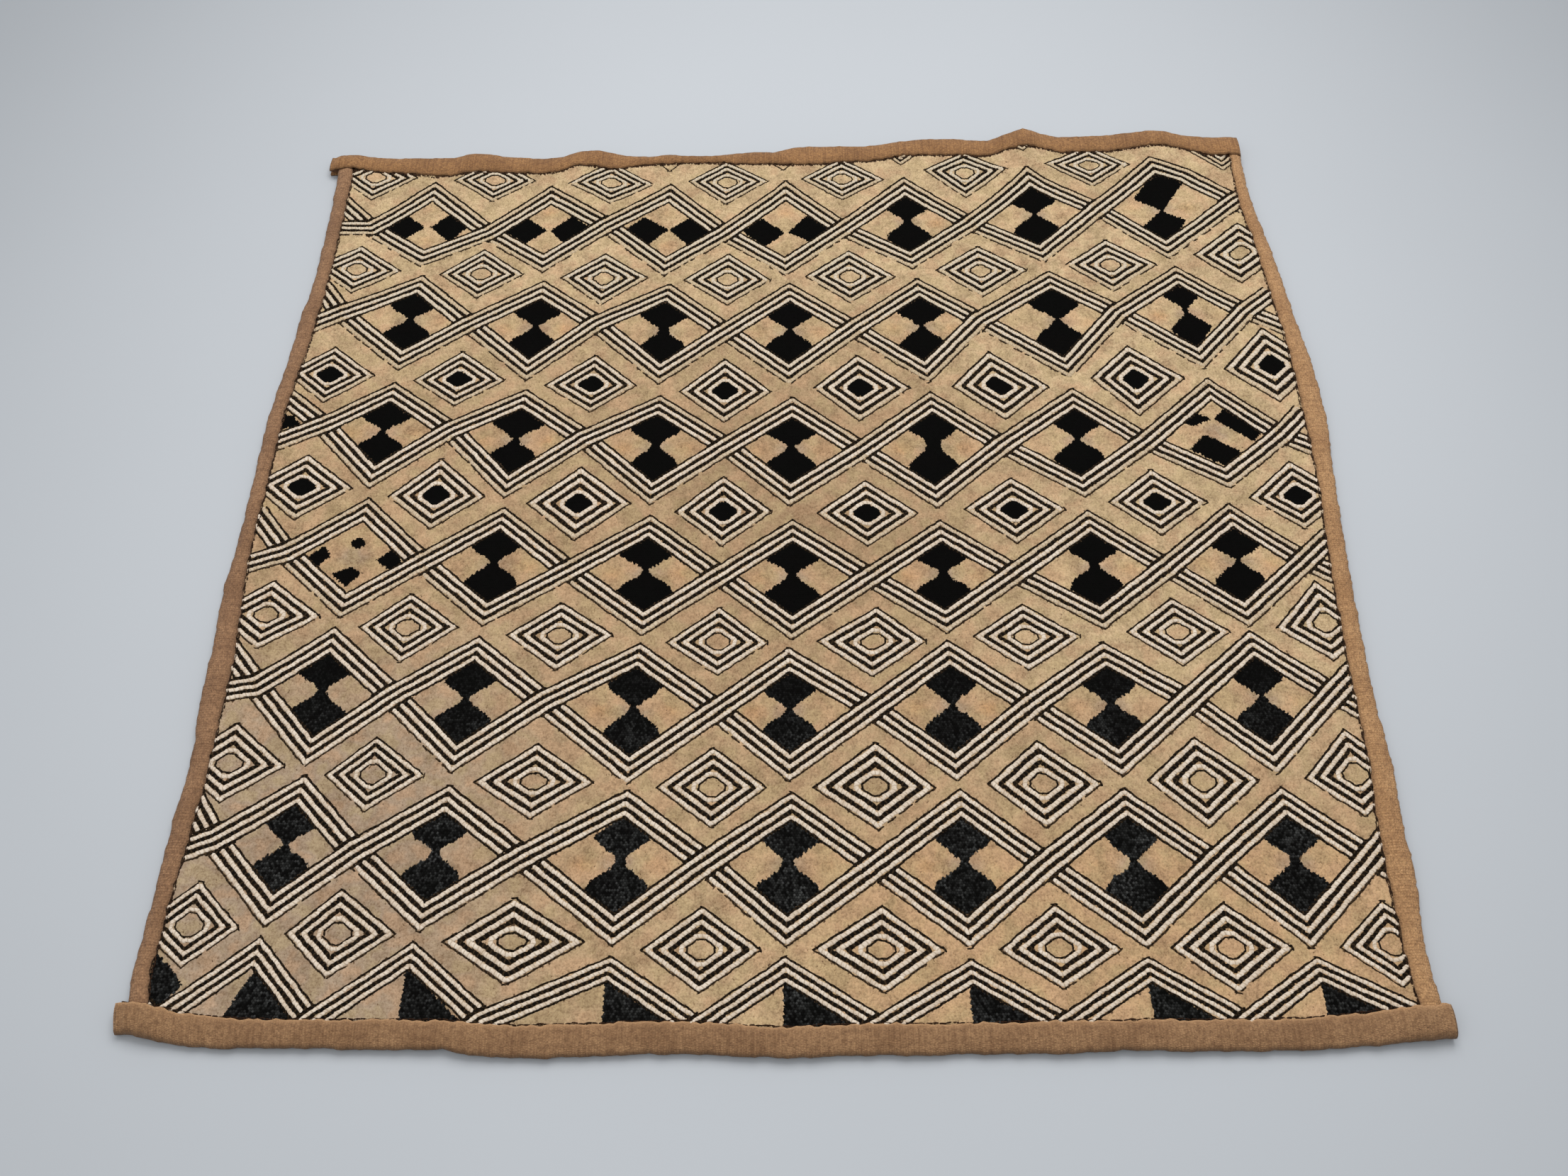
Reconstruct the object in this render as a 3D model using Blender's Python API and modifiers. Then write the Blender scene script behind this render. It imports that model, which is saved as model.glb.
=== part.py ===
"""Kuba raffia cloth: a cut-pile panel whose four edges are bound in folded strips of plain raffia.

Metres, +Z up. The cloth lies flat on z = 0 with its near edge towards -Y and its far edge towards
+Y. The origin is the middle of the outline on the surface that the cloth rests on.

Each edge of the cloth is a short table of places along it. The tables are in millimetres, because
cloth is measured so, and every solid is worked out from them and from the sizes below.
"""

import math
from typing import NamedTuple

import bpy

MM = 0.001

# Thickness of the cloth and the room between its layers
LAYER = 1.0 * MM
FIELD_THICKNESS = 2.2 * MM
FIELD_RELIEF = 0.12 * MM
GAP = 0.45 * MM

# One more folded layer underneath lifts what lies on it by this much
BED = LAYER + GAP

# Height of a strip that is folded round one layer, and its soft crown
FOLD_HEIGHT = 3 * LAYER + 2 * GAP
CROWN = 0.3 * MM

# Across an edge: the panel's own edge inside the fold, then the seam groove beside the strip
PANEL_INSET = 3.2 * MM
SEAM_START = 0.2 * MM
SEAM_END = 1.2 * MM

# The panel slopes from the fold down to the surface over this width
SLOPE = 28.0 * MM

# The side strips end this far inside the outer edge of the near and far strips
END_TUCK = 5.0 * MM

# The near and far strips swell over the side strips within this width, and flatten at their ends
SWELL = 9.0 * MM
END_CLEARANCE = 0.5 * MM
END_TAPER = 4.0 * MM
END_HEIGHT = 3.0 * MM

# Width over which a ripple of an edge dies away in the field
RIPPLE_REACH = 52.0 * MM

# Divisions of the panel between its slopes
FIELD_COLUMNS = 44
FIELD_ROWS = 30

# Lines of the panel's grid along each edge, and which of them ends the seam groove
EDGE_LINES = 5
GROOVE_LINE = 2

# Turns in which the crossing of two grid lines settles
CROSSING_TURNS = 5

# The crown of a folded strip lies between these shares of its flat part, from the fold inwards
CROWN_START = 0.3
CROWN_END = 0.66

# Angles round the fold of a strip at which its outer line is bent, from the upper layer down
FOLD_ANGLES = (90.0, 45.0, 0.0, -45.0, -90.0)


class EdgeRow(NamedTuple):
    """One place on an edge, in millimetres."""

    along: float   # place along the edge, from the cloth's middle
    outer: float   # distance of the outer edge from the cloth's middle line
    width: float   # how far the folded strip reaches in over the panel
    lift: float    # how high the edge ripples off the surface


class StripEnd(NamedTuple):
    """Where a near or far strip ends, past a side strip, in millimetres from the cloth's middle."""

    at_fold: float   # at the outer edge, where the strip is folded
    at_seam: float   # at the inner edge, where it is sewn down


FAR_STRIP_ENDS = (StripEnd(-301.5, -304.0), StripEnd(295.8, 295.8))
NEAR_STRIP_ENDS = (StripEnd(-300.5, -302.5), StripEnd(288.8, 288.3))

FAR_ROWS = (
    EdgeRow(-310.0, 294.0, 14.5, 0.0),
    EdgeRow(-285.0, 294.5, 14.5, 0.3),
    EdgeRow(-262.0, 293.0, 14.5, 0.3),
    EdgeRow(-243.0, 293.5, 17.0, 0.8),
    EdgeRow(-228.0, 293.0, 18.0, 0.5),
    EdgeRow(-208.0, 297.0, 19.0, 1.9),
    EdgeRow(-184.0, 294.0, 15.5, 0.8),
    EdgeRow(-157.0, 293.0, 15.5, 0.5),
    EdgeRow(-146.0, 297.0, 12.0, 1.5),
    EdgeRow(-134.0, 299.0, 16.0, 3.5),
    EdgeRow(-122.0, 297.0, 17.0, 2.5),
    EdgeRow(-98.0, 294.0, 8.0, 1.0),
    EdgeRow(-85.0, 297.0, 10.0, 1.0),
    EdgeRow(-70.0, 295.5, 7.5, 1.0),
    EdgeRow(-44.0, 296.0, 8.0, 1.0),
    EdgeRow(-31.0, 299.0, 12.5, 1.3),
    EdgeRow(-14.0, 299.0, 12.0, 1.0),
    EdgeRow(4.0, 303.5, 18.5, 2.0),
    EdgeRow(48.0, 304.0, 15.5, 2.0),
    EdgeRow(57.0, 305.5, 15.5, 2.0),
    EdgeRow(69.0, 309.0, 15.0, 2.0),
    EdgeRow(98.0, 311.5, 17.0, 2.3),
    EdgeRow(127.0, 309.0, 15.5, 2.5),
    EdgeRow(138.0, 312.5, 15.5, 4.0),
    EdgeRow(151.0, 317.0, 18.0, 7.0),
    EdgeRow(162.0, 315.0, 15.0, 4.0),
    EdgeRow(176.0, 313.0, 16.0, 2.5),
    EdgeRow(208.0, 315.0, 16.5, 2.5),
    EdgeRow(241.0, 318.5, 15.0, 4.0),
    EdgeRow(255.0, 315.5, 14.0, 2.5),
    EdgeRow(272.0, 313.0, 18.5, 1.7),
    EdgeRow(292.0, 312.0, 19.0, 0.7),
    EdgeRow(312.0, 310.5, 18.5, 0.0),
)

NEAR_ROWS = (
    EdgeRow(-310.0, 305.0, 13.5, 0.0),
    EdgeRow(-298.0, 306.5, 14.0, 0.0),
    EdgeRow(-284.0, 309.0, 15.0, 0.0),
    EdgeRow(-262.0, 312.5, 14.0, 0.4),
    EdgeRow(-225.0, 312.5, 12.5, 0.8),
    EdgeRow(-175.0, 313.5, 13.5, 1.0),
    EdgeRow(-160.0, 313.0, 12.5, 1.5),
    EdgeRow(-146.0, 315.5, 14.0, 1.3),
    EdgeRow(-120.0, 317.0, 14.5, 0.5),
    EdgeRow(-55.0, 315.0, 14.5, 0.5),
    EdgeRow(-4.0, 317.0, 13.5, 1.0),
    EdgeRow(34.0, 315.5, 14.0, 0.5),
    EdgeRow(52.0, 316.0, 14.0, 0.8),
    EdgeRow(72.0, 315.0, 13.5, 0.3),
    EdgeRow(124.0, 315.0, 14.5, 1.0),
    EdgeRow(142.0, 313.5, 13.0, 1.3),
    EdgeRow(165.0, 314.0, 14.0, 1.0),
    EdgeRow(216.0, 313.5, 14.0, 0.5),
    EdgeRow(262.0, 310.5, 15.0, 0.5),
    EdgeRow(284.0, 308.5, 15.0, 0.0),
    EdgeRow(300.0, 306.0, 14.5, 0.0),
)

LEFT_ROWS = (
    EdgeRow(-310.0, 296.5, 9.0, 0.0),
    EdgeRow(-292.0, 297.0, 9.0, 0.0),
    EdgeRow(-276.0, 299.0, 8.5, 0.0),
    EdgeRow(-243.0, 298.0, 8.5, 0.8),
    EdgeRow(-200.0, 298.0, 10.5, 0.7),
    EdgeRow(-171.0, 296.5, 10.0, 0.5),
    EdgeRow(-158.0, 297.0, 10.0, 0.7),
    EdgeRow(-130.0, 299.5, 13.0, 1.5),
    EdgeRow(-106.0, 299.5, 12.5, 1.6),
    EdgeRow(-61.0, 302.5, 11.0, 0.0),
    EdgeRow(-30.0, 301.0, 8.0, 0.4),
    EdgeRow(9.0, 301.0, 8.5, 1.0),
    EdgeRow(56.0, 302.0, 9.0, 0.5),
    EdgeRow(100.0, 299.5, 9.0, 0.2),
    EdgeRow(120.0, 298.5, 10.0, 0.0),
    EdgeRow(144.0, 298.0, 10.5, 0.5),
    EdgeRow(172.0, 295.0, 9.0, 0.9),
    EdgeRow(232.0, 295.5, 9.0, 0.5),
    EdgeRow(253.0, 296.0, 9.5, 0.3),
    EdgeRow(310.0, 297.5, 10.0, 0.0),
)

RIGHT_ROWS = (
    EdgeRow(-310.0, 285.5, 10.5, 0.0),
    EdgeRow(-264.0, 284.5, 10.0, 1.0),
    EdgeRow(-229.0, 289.0, 13.5, 0.5),
    EdgeRow(-208.0, 288.5, 12.5, 1.0),
    EdgeRow(-166.0, 291.5, 11.5, 0.5),
    EdgeRow(-136.0, 291.0, 10.0, 0.0),
    EdgeRow(-90.0, 292.5, 10.0, 1.0),
    EdgeRow(-47.0, 295.0, 10.0, 1.0),
    EdgeRow(9.0, 299.5, 9.5, 0.5),
    EdgeRow(38.0, 302.0, 11.0, 0.8),
    EdgeRow(60.0, 304.5, 13.0, 1.0),
    EdgeRow(102.0, 304.0, 12.0, 2.0),
    EdgeRow(140.0, 301.5, 10.0, 1.3),
    EdgeRow(173.0, 300.0, 10.0, 0.8),
    EdgeRow(211.0, 297.5, 9.0, 0.6),
    EdgeRow(250.0, 293.5, 8.5, 1.0),
    EdgeRow(272.0, 293.0, 7.5, 0.6),
    EdgeRow(320.0, 294.0, 7.5, 0.0),
)


def clamp(value):
    """A value kept between 0 and 1."""
    return min(1.0, max(0.0, value))


def smooth(value):
    """A soft step from 0 to 1."""
    t = clamp(value)
    return t * t * (3.0 - 2.0 * t)


def slopes(places, values):
    """Tangents of a smooth curve that never overshoots its points."""
    steps = [(values[i + 1] - values[i]) / (places[i + 1] - places[i]) for i in range(len(places) - 1)]
    tangents = [0.0]
    for before, after in zip(steps, steps[1:]):
        turning = before * after <= 0.0
        tangents.append(0.0 if turning else 2.0 * before * after / (before + after))
    return tangents + [0.0]


class Edge:
    """One edge of the cloth: outer line, strip width and ripple as smooth curves through a table."""

    def __init__(self, rows, runs_along_x, side):
        self.runs_along_x = runs_along_x
        self.side = side
        self.clockwise = side if runs_along_x else -side
        self.places = [row.along * MM for row in rows]
        columns = {name: [getattr(row, name) * MM for row in rows] for name in ("outer", "width", "lift")}
        self.curves = {name: (values, slopes(self.places, values)) for name, values in columns.items()}

    def read(self, name, along):
        """Value of a column at a place along the edge."""
        values, tangents = self.curves[name]
        along = min(self.places[-1], max(self.places[0], along))
        i = 0
        while i < len(self.places) - 2 and along > self.places[i + 1]:
            i += 1
        span = self.places[i + 1] - self.places[i]
        t = (along - self.places[i]) / span
        start = values[i] * (1 + 2 * t) * (1 - t) ** 2 + tangents[i] * span * t * (1 - t) ** 2
        end = values[i + 1] * t * t * (3 - 2 * t) - tangents[i + 1] * span * t * t * (1 - t)
        return start + end

    def outer(self, along):
        return self.read("outer", along)

    def width(self, along):
        return self.read("width", along)

    def split(self, x, y):
        """Place along the edge and distance in from its outer line, of a point of the cloth."""
        along, across = (x, y) if self.runs_along_x else (y, x)
        return along, self.outer(along) - self.side * across

    def point(self, along, inward):
        """The point of the cloth at a place along the edge and a distance in from its outer line."""
        across = self.side * (self.outer(along) - inward)
        return (along, across) if self.runs_along_x else (across, along)

    def past_seam(self, x, y):
        """Distance from the far side of the seam groove, towards the middle of the cloth."""
        along, inward = self.split(x, y)
        return inward - self.width(along) - SEAM_END

    def rise(self, x, y):
        """1 where a folded strip of this edge lies below the panel, falling to 0 over the slope."""
        return clamp(1.0 - self.past_seam(x, y) / SLOPE)

    def ripple(self, x, y):
        """How high this edge's ripples lift the cloth at a point."""
        along, _ = self.split(x, y)
        return self.read("lift", along) * (1.0 - smooth(self.past_seam(x, y) / RIPPLE_REACH))

    def lines(self, along):
        """Distances in from the outer line of the panel's edge, its seam groove and its slope."""
        seam = self.width(along)
        groove_end = seam + SEAM_END
        return [PANEL_INSET, seam + SEAM_START, groove_end, groove_end + SLOPE / 2, groove_end + SLOPE]


LEFT = Edge(LEFT_ROWS, runs_along_x=False, side=-1)
RIGHT = Edge(RIGHT_ROWS, runs_along_x=False, side=1)
NEAR = Edge(NEAR_ROWS, runs_along_x=True, side=-1)
FAR = Edge(FAR_ROWS, runs_along_x=True, side=1)
EDGES = (LEFT, RIGHT, NEAR, FAR)


def ripple(x, y):
    """Height that the ripples of all four edges add at a point."""
    return sum(edge.ripple(x, y) for edge in EDGES)


def side_rise(x, y):
    """Rise over a side strip, left or right."""
    return max(LEFT.rise(x, y), RIGHT.rise(x, y))


def end_rise(x, y):
    """Rise over the near or the far strip."""
    return max(NEAR.rise(x, y), FAR.rise(x, y))


def grid_lines(low_edge, high_edge, along, divisions):
    """Places of the panel's grid lines from its low edge to its high edge, both measured at along."""
    low = [-low_edge.outer(along) + inward for inward in low_edge.lines(along)]
    high = [high_edge.outer(along) - inward for inward in reversed(high_edge.lines(along))]
    pitch = (high[0] - low[-1]) / divisions
    middle = [low[-1] + pitch * i for i in range(1, divisions)]
    return low + middle + high


COLUMN_COUNT = len(grid_lines(LEFT, RIGHT, 0.0, FIELD_COLUMNS))
ROW_COUNT = len(grid_lines(NEAR, FAR, 0.0, FIELD_ROWS))


def panel_point(row, column):
    """Where a row and a column of the panel's grid cross, found by a few turns of both line sets."""
    y = 0.0
    for _ in range(CROSSING_TURNS):
        x = grid_lines(LEFT, RIGHT, y, FIELD_COLUMNS)[column]
        y = grid_lines(NEAR, FAR, x, FIELD_ROWS)[row]
    return x, y


def field_share(row, column):
    """1 on the worked field, 0 on the plain margin that the strips cover."""
    inside_rows = GROOVE_LINE <= row < ROW_COUNT - GROOVE_LINE
    inside_columns = GROOVE_LINE <= column < COLUMN_COUNT - GROOVE_LINE
    return 1.0 if inside_rows and inside_columns else 0.0


def relief(row, column):
    """Slight unevenness of the worked field, from -1 to 1, in a fixed rhythm of rows and columns."""
    return (((row * 5 + column * 3) % 7) - 3) / 3.0


def raffia(name, colour, roughness):
    """A plain raffia material."""
    material = bpy.data.materials.new(name)
    material.use_nodes = True
    shader = material.node_tree.nodes["Principled BSDF"]
    shader.inputs["Base Color"].default_value = (*colour, 1.0)
    shader.inputs["Roughness"].default_value = roughness
    shader.inputs["Metallic"].default_value = 0.0
    return material


def open_sheet(name, rows, columns, place):
    """A grid of rows and columns of points, each moved to place(row, column), as an open surface."""
    bpy.ops.mesh.primitive_grid_add(x_subdivisions=columns - 1, y_subdivisions=rows - 1, size=2.0)
    sheet = bpy.context.object
    sheet.name = name
    sheet.data.name = name
    for vertex in sheet.data.vertices:
        column = round((vertex.co.x + 1.0) / 2.0 * (columns - 1))
        row = round((vertex.co.y + 1.0) / 2.0 * (rows - 1))
        vertex.co = place(row, column)
        vertex.select = False
    sheet.data.update()
    return sheet


def thicken(sheet, thickness, offset, even):
    """Give an open surface its thickness."""
    solidify = sheet.modifiers.new("Thickness", "SOLIDIFY")
    solidify.thickness = thickness
    solidify.offset = offset
    solidify.use_even_offset = even
    solidify.use_rim = True
    return solidify


def build_panel():
    """The woven panel: thick over its worked field, one thin layer inside the strips."""

    def place(row, column):
        x, y = panel_point(row, column)
        bed = BED * (side_rise(x, y) + end_rise(x, y))
        return x, y, bed + ripple(x, y)

    panel = open_sheet("panel", ROW_COUNT, COLUMN_COUNT, place)
    thickest = FIELD_THICKNESS + FIELD_RELIEF
    worked = panel.vertex_groups.new(name="worked field")
    for index in range(len(panel.data.vertices)):
        row, column = divmod(index, COLUMN_COUNT)
        thickness = FIELD_THICKNESS + FIELD_RELIEF * relief(row, column)
        share = field_share(row, column) * (thickness - LAYER) / (thickest - LAYER)
        worked.add([index], share, "REPLACE")
    solidify = thicken(panel, thickest, offset=1.0, even=False)
    solidify.vertex_group = worked.name
    solidify.thickness_vertex_group = LAYER / thickest
    panel.data.materials.append(raffia("worked raffia", (0.48, 0.34, 0.19), 0.85))
    return panel


def fold_profile(width, height, crown):
    """Outer line of a folded strip's section, as distance in and height, from upper to lower end."""
    radius = height / 2
    flat = width - radius
    upper = [(width, height)] + [(radius + flat * share, height + crown) for share in (CROWN_END, CROWN_START)]
    turns = [math.radians(angle) for angle in FOLD_ANGLES]
    bend = [(radius - radius * math.cos(turn), radius + radius * math.sin(turn)) for turn in turns]
    lower = [(width, 0.0)]
    return upper + bend + lower


PROFILE_POINTS = len(fold_profile(0.010, FOLD_HEIGHT, CROWN))


def build_binding(name, edge, stations, base, height, crown):
    """A strip folded round an edge. base, height and crown are functions of a point of the seam.

    Each station is its place along the edge at the fold and at the seam. They run clockwise round
    the cloth, so that the outer side of the fold faces out.
    """
    stations = sorted(stations)[::edge.clockwise]

    def place(row, column):
        at_fold, at_seam = stations[column]
        width = edge.width(at_seam)
        x, y = edge.point(at_seam, width)
        inward, up = fold_profile(width, height(x, y), crown(x, y))[row]
        px, py = edge.point(at_fold + (at_seam - at_fold) * inward / width, inward)
        return px, py, base(x, y) + up + ripple(px, py)

    strip = open_sheet(name, PROFILE_POINTS, len(stations), place)
    thicken(strip, LAYER, offset=-1.0, even=True)
    strip.data.materials.append(raffia("plain raffia " + name, (0.42, 0.23, 0.10), 0.8))
    return strip


def strip_height(x, y):
    """Height of the near or far strip: it rises with the panel and swells over a side strip."""
    seam = min(LEFT.past_seam(x, y), RIGHT.past_seam(x, y))
    swollen = FOLD_HEIGHT + BED * side_rise(x, y) + BED * clamp(1.0 - seam / SWELL)
    for edge in (LEFT, RIGHT):
        along, inward = edge.split(x, y)
        if inward < 0.0:
            return swollen - (swollen - END_HEIGHT) * clamp((-inward - END_CLEARANCE) / END_TAPER)
    return swollen


def end_strip_stations(edge, ends, row):
    """Places along the near or far strip, set close where it passes over the side strips."""
    middle_columns = range(EDGE_LINES - 1, COLUMN_COUNT - EDGE_LINES + 1)
    middle = [panel_point(row, column)[0] for column in middle_columns]
    corners = []
    for side_edge in (LEFT, RIGHT):
        corner = side_edge.side * side_edge.outer(0.0)
        y = edge.side * (edge.outer(corner) - edge.width(corner) / 2)
        outer = side_edge.outer(y)
        seam = side_edge.width(y)
        groove_end = seam + SEAM_END
        inwards = (-END_CLEARANCE, PANEL_INSET, seam, groove_end, groove_end + SWELL, groove_end + SLOPE / 2)
        corners.append([side_edge.side * (outer - inward) for inward in inwards])
    square_stations = [(place, place) for place in corners[0] + middle + corners[1]]
    return square_stations + [(end.at_fold * MM, end.at_seam * MM) for end in ends]


def side_strip_stations(edge, column):
    """Places along a side strip, from its tucked near end to its tucked far end."""
    across = edge.side * edge.outer(0.0)
    near_end = -(NEAR.outer(across) - END_TUCK)
    far_end = FAR.outer(across) - END_TUCK
    places = [near_end] + [panel_point(row, column)[1] for row in range(1, ROW_COUNT - 1)] + [far_end]
    return [(place, place) for place in places]


def build_side_binding(name, edge, column):
    """A side strip, raised at both ends by the near and far strips below it."""
    return build_binding(
        name,
        edge,
        side_strip_stations(edge, column),
        base=lambda x, y: BED * end_rise(x, y),
        height=lambda x, y: FOLD_HEIGHT,
        crown=lambda x, y: CROWN * (1.0 - end_rise(x, y)),
    )


def build_end_binding(name, edge, ends, row):
    """The near or the far strip, folded over the panel and over the ends of the side strips."""
    return build_binding(
        name,
        edge,
        end_strip_stations(edge, ends, row),
        base=lambda x, y: 0.0,
        height=strip_height,
        crown=lambda x, y: CROWN,
    )


def main():
    for leftover in list(bpy.data.objects):
        bpy.data.objects.remove(leftover, do_unlink=True)
    cloth = bpy.data.collections.new("kuba_raffia_cloth")
    bpy.context.scene.collection.children.link(cloth)
    pieces = (
        build_panel(),
        build_side_binding("binding_left", LEFT, 0),
        build_side_binding("binding_right", RIGHT, COLUMN_COUNT - 1),
        build_end_binding("binding_bottom", NEAR, NEAR_STRIP_ENDS, 0),
        build_end_binding("binding_top", FAR, FAR_STRIP_ENDS, ROW_COUNT - 1),
    )
    for piece in pieces:
        for holder in list(piece.users_collection):
            holder.objects.unlink(piece)
        cloth.objects.link(piece)


main()
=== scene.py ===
"""Kuba raffia cloth: a cut-pile panel with stem-stitch bands, bound in folded strips of plain raffia.

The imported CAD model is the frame. The woven ground is laid on the underside of the CAD panel, the
stitches and the cut pile stand on it, and each strip is sewn again, finer, on its CAD strip.
The pattern is charted in millimetres of cloth: lattice points of the bands, then rules for the rest.
"""

import logging
import math
from dataclasses import dataclass, field
from enum import Enum

import bpy
import numpy as np
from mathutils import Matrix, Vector
from mathutils.bvhtree import BVHTree


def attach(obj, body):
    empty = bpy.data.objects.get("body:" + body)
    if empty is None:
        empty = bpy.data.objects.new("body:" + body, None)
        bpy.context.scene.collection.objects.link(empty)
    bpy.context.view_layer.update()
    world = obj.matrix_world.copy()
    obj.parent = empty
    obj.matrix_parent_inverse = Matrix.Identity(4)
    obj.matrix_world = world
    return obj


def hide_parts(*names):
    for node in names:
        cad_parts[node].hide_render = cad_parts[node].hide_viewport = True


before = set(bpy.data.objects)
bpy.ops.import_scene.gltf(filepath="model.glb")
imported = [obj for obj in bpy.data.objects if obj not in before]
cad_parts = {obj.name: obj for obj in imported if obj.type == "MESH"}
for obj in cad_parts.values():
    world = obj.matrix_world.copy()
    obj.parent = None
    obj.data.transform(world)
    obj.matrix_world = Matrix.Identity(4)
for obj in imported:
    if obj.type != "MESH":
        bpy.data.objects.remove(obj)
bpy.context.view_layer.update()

LOG = logging.getLogger("kuba_cloth")
MM = 0.001
PHOTO_WIDTH = 2212
SEED = 7

# Metres of cloth along one side of the flat map, and millimetres between the places of a charted line
MAP_SPAN = 0.66
STEP = 0.5

Place = tuple[float, float]
Triple = tuple[float, float, float]
Colour = Triple
Socket = bpy.types.NodeSocket
Input = Socket | float | Triple

# Cells in a row, how many of the far rows are worked finer and have faded, and how many have shaded
# outer cream lines
CELLS = 7
FAR_ROWS = 2
SHADED_ROWS = 4

# The pattern's lattice, in millimetres of cloth. Seven rows of seven cells run from the far edge to
# the near edge. Every cell has a top and a bottom corner, and its band crosses its neighbour's half-way.
CELL_TOPS: tuple[tuple[Place, ...], ...] = (
    ((-232.5, 269.5), (-156.5, 266.5), (-80, 268.5), (-5.5, 270.5), (71.5, 274.5), (152.5, 281.5),
     (234.5, 293.5)),
    ((-230.5, 183.5), (-154.5, 178.5), (-77.5, 176), (-3, 176.5), (76, 180.5), (157.5, 187.5),
     (236.5, 191.5)),
    ((-234, 92), (-157, 86.5), (-78.5, 81.5), (-1.5, 80), (79, 84), (161.5, 87), (241.5, 94.5)),
    ((-236, 3), (-160.5, -3.5), (-79.5, -9), (-1.5, -12), (79, -12.5), (160.5, -5.5), (238.5, -1)),
    ((-240, -85), (-164.5, -90.5), (-81, -94.5), (-3.5, -97.5), (78.5, -93), (158.5, -94),
     (235.5, -87.5)),
    ((-240.5, -174), (-169, -179), (-82.5, -181.5), (-2.5, -183), (79, -181.5), (158.5, -181),
     (235, -180.5)),
    ((-245.5, -259.5), (-175, -261.5), (-85, -268), (-5.5, -268.5), (78.5, -269.5), (158.5, -268.5),
     (235, -268.5)),
)
CELL_BOTTOMS: tuple[tuple[Place, ...], ...] = (
    ((-232, 190.5), (-156.5, 186), (-80.5, 183), (-5.5, 183), (73, 189), (155, 195), (234, 199)),
    ((-233.5, 101.5), (-157.5, 93.5), (-79.5, 90.5), (-3.5, 90), (77.5, 92), (160.5, 95.5),
     (240.5, 103.5)),
    ((-236.5, 10.5), (-160.5, 3.5), (-80, -1.5), (-3, -2.5), (78, -4), (160, 3.5), (241, 10)),
    ((-238, -79), (-163, -84.5), (-80, -90.5), (-2, -93), (78.5, -89), (160, -86.5), (236, -84.5)),
    ((-240.5, -168.5), (-168.5, -172.5), (-82.5, -179), (-3.5, -177.5), (78, -177), (159, -174.5),
     (234.5, -173)),
    ((-244, -254), (-173, -257), (-84.5, -264), (-5, -264.5), (78.5, -265), (159, -265), (234, -264.5)),
    ((-247, -345), (-178, -345), (-88, -345), (-6, -345), (78, -345), (158, -345), (236, -345)),
)
CROSSINGS: tuple[tuple[Place, ...], ...] = (
    ((-268, 226), (-193, 222.5), (-119, 230), (-44, 222.5), (31, 226.5), (112, 231.5), (194.5, 245.5),
     (283, 251)),
    ((-274, 148.5), (-196, 140.5), (-119.5, 141), (-41.5, 134), (35.5, 136.5), (111.5, 144),
     (196, 150.5), (273, 150)),
    ((-270, 57.5), (-197, 54), (-120, 47.5), (-39, 41.5), (37.5, 38.5), (117.5, 42.5), (199.5, 45),
     (276.5, 49)),
    ((-274, -36), (-200.5, -42), (-121.5, -47.5), (-40.5, -51), (39.5, -52), (117, -49.5),
     (198.5, -45.5), (272.5, -42)),
    ((-273, -123), (-204, -127.5), (-127.5, -131), (-40, -136), (38, -135), (118.5, -133), (198, -130),
     (271, -127)),
    ((-276.5, -210), (-209.5, -215.5), (-130, -218.5), (-43, -221.5), (37.5, -223), (117, -222.5),
     (197, -221.5), (270, -220)),
    ((-284, -301.5), (-215, -301), (-139, -300.5), (-44, -304), (36, -303.5), (119, -302.5),
     (198.5, -301.5), (277, -300.5)),
)

# Where the bands of each row come in under the left strip and run out under the right one
LEFT_ENTRIES: tuple[Place, ...] = (
    (-285, 225), (-288, 139), (-293, 43), (-292, -44), (-289, -127), (-289, -216), (-290, -309),
)
LEFT_STARTS: tuple[Place, ...] = (
    (-290, 250), (-290, 171), (-295, 79), (-295, -9), (-293, -98), (-293, -186), (-300, -286),
)
RIGHT_EXITS: tuple[Place, ...] = (
    (300, 264), (291, 165.5), (292, 66), (290, -25), (290, -108), (287, -202), (292, -289),
)
BAND_WIDTHS = (14.0, 14.0, 13.7, 13.5, 13.5, 13.4, 11.8)

# Places where a band bends between its corner and its crossing: (row, cell, rising) to a place
BENDS: dict[tuple[int, int, bool], Place] = {(0, 7, False): (254, 277)}

# Half of the two black patches of a cell: distance from the patch's axis, and from its sharp tip
UPPER_PATCH = ((14.6, 9.6), (13.3, 12.2), (10.8, 14.6), (8.0, 16.8), (5.4, 18.8), (3.2, 20.6))
LOWER_PATCH = ((15.2, 10.6), (14.1, 14.2), (12.2, 17.0), (9.6, 19.4), (6.8, 21.6), (4.0, 23.6))
PATCH_SPAN = 50.0

# Cells whose patches have a wide neck, half its width, and cells whose two patches lie side by side
WIDE_NECKS = {(1, 3): 3.0, (2, 5): 4.5}
SIDE_BY_SIDE = {(0, 1), (0, 2), (0, 3), (0, 4)}

# How far each of the two patches reaches as a share of the cell's height, and how wide the two are
# in the far rows and in the others
PATCH_SHARES = (0.455, 0.56)
PATCH_STRETCH = ((1.05, 0.97), (0.97, 1.0))

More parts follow.
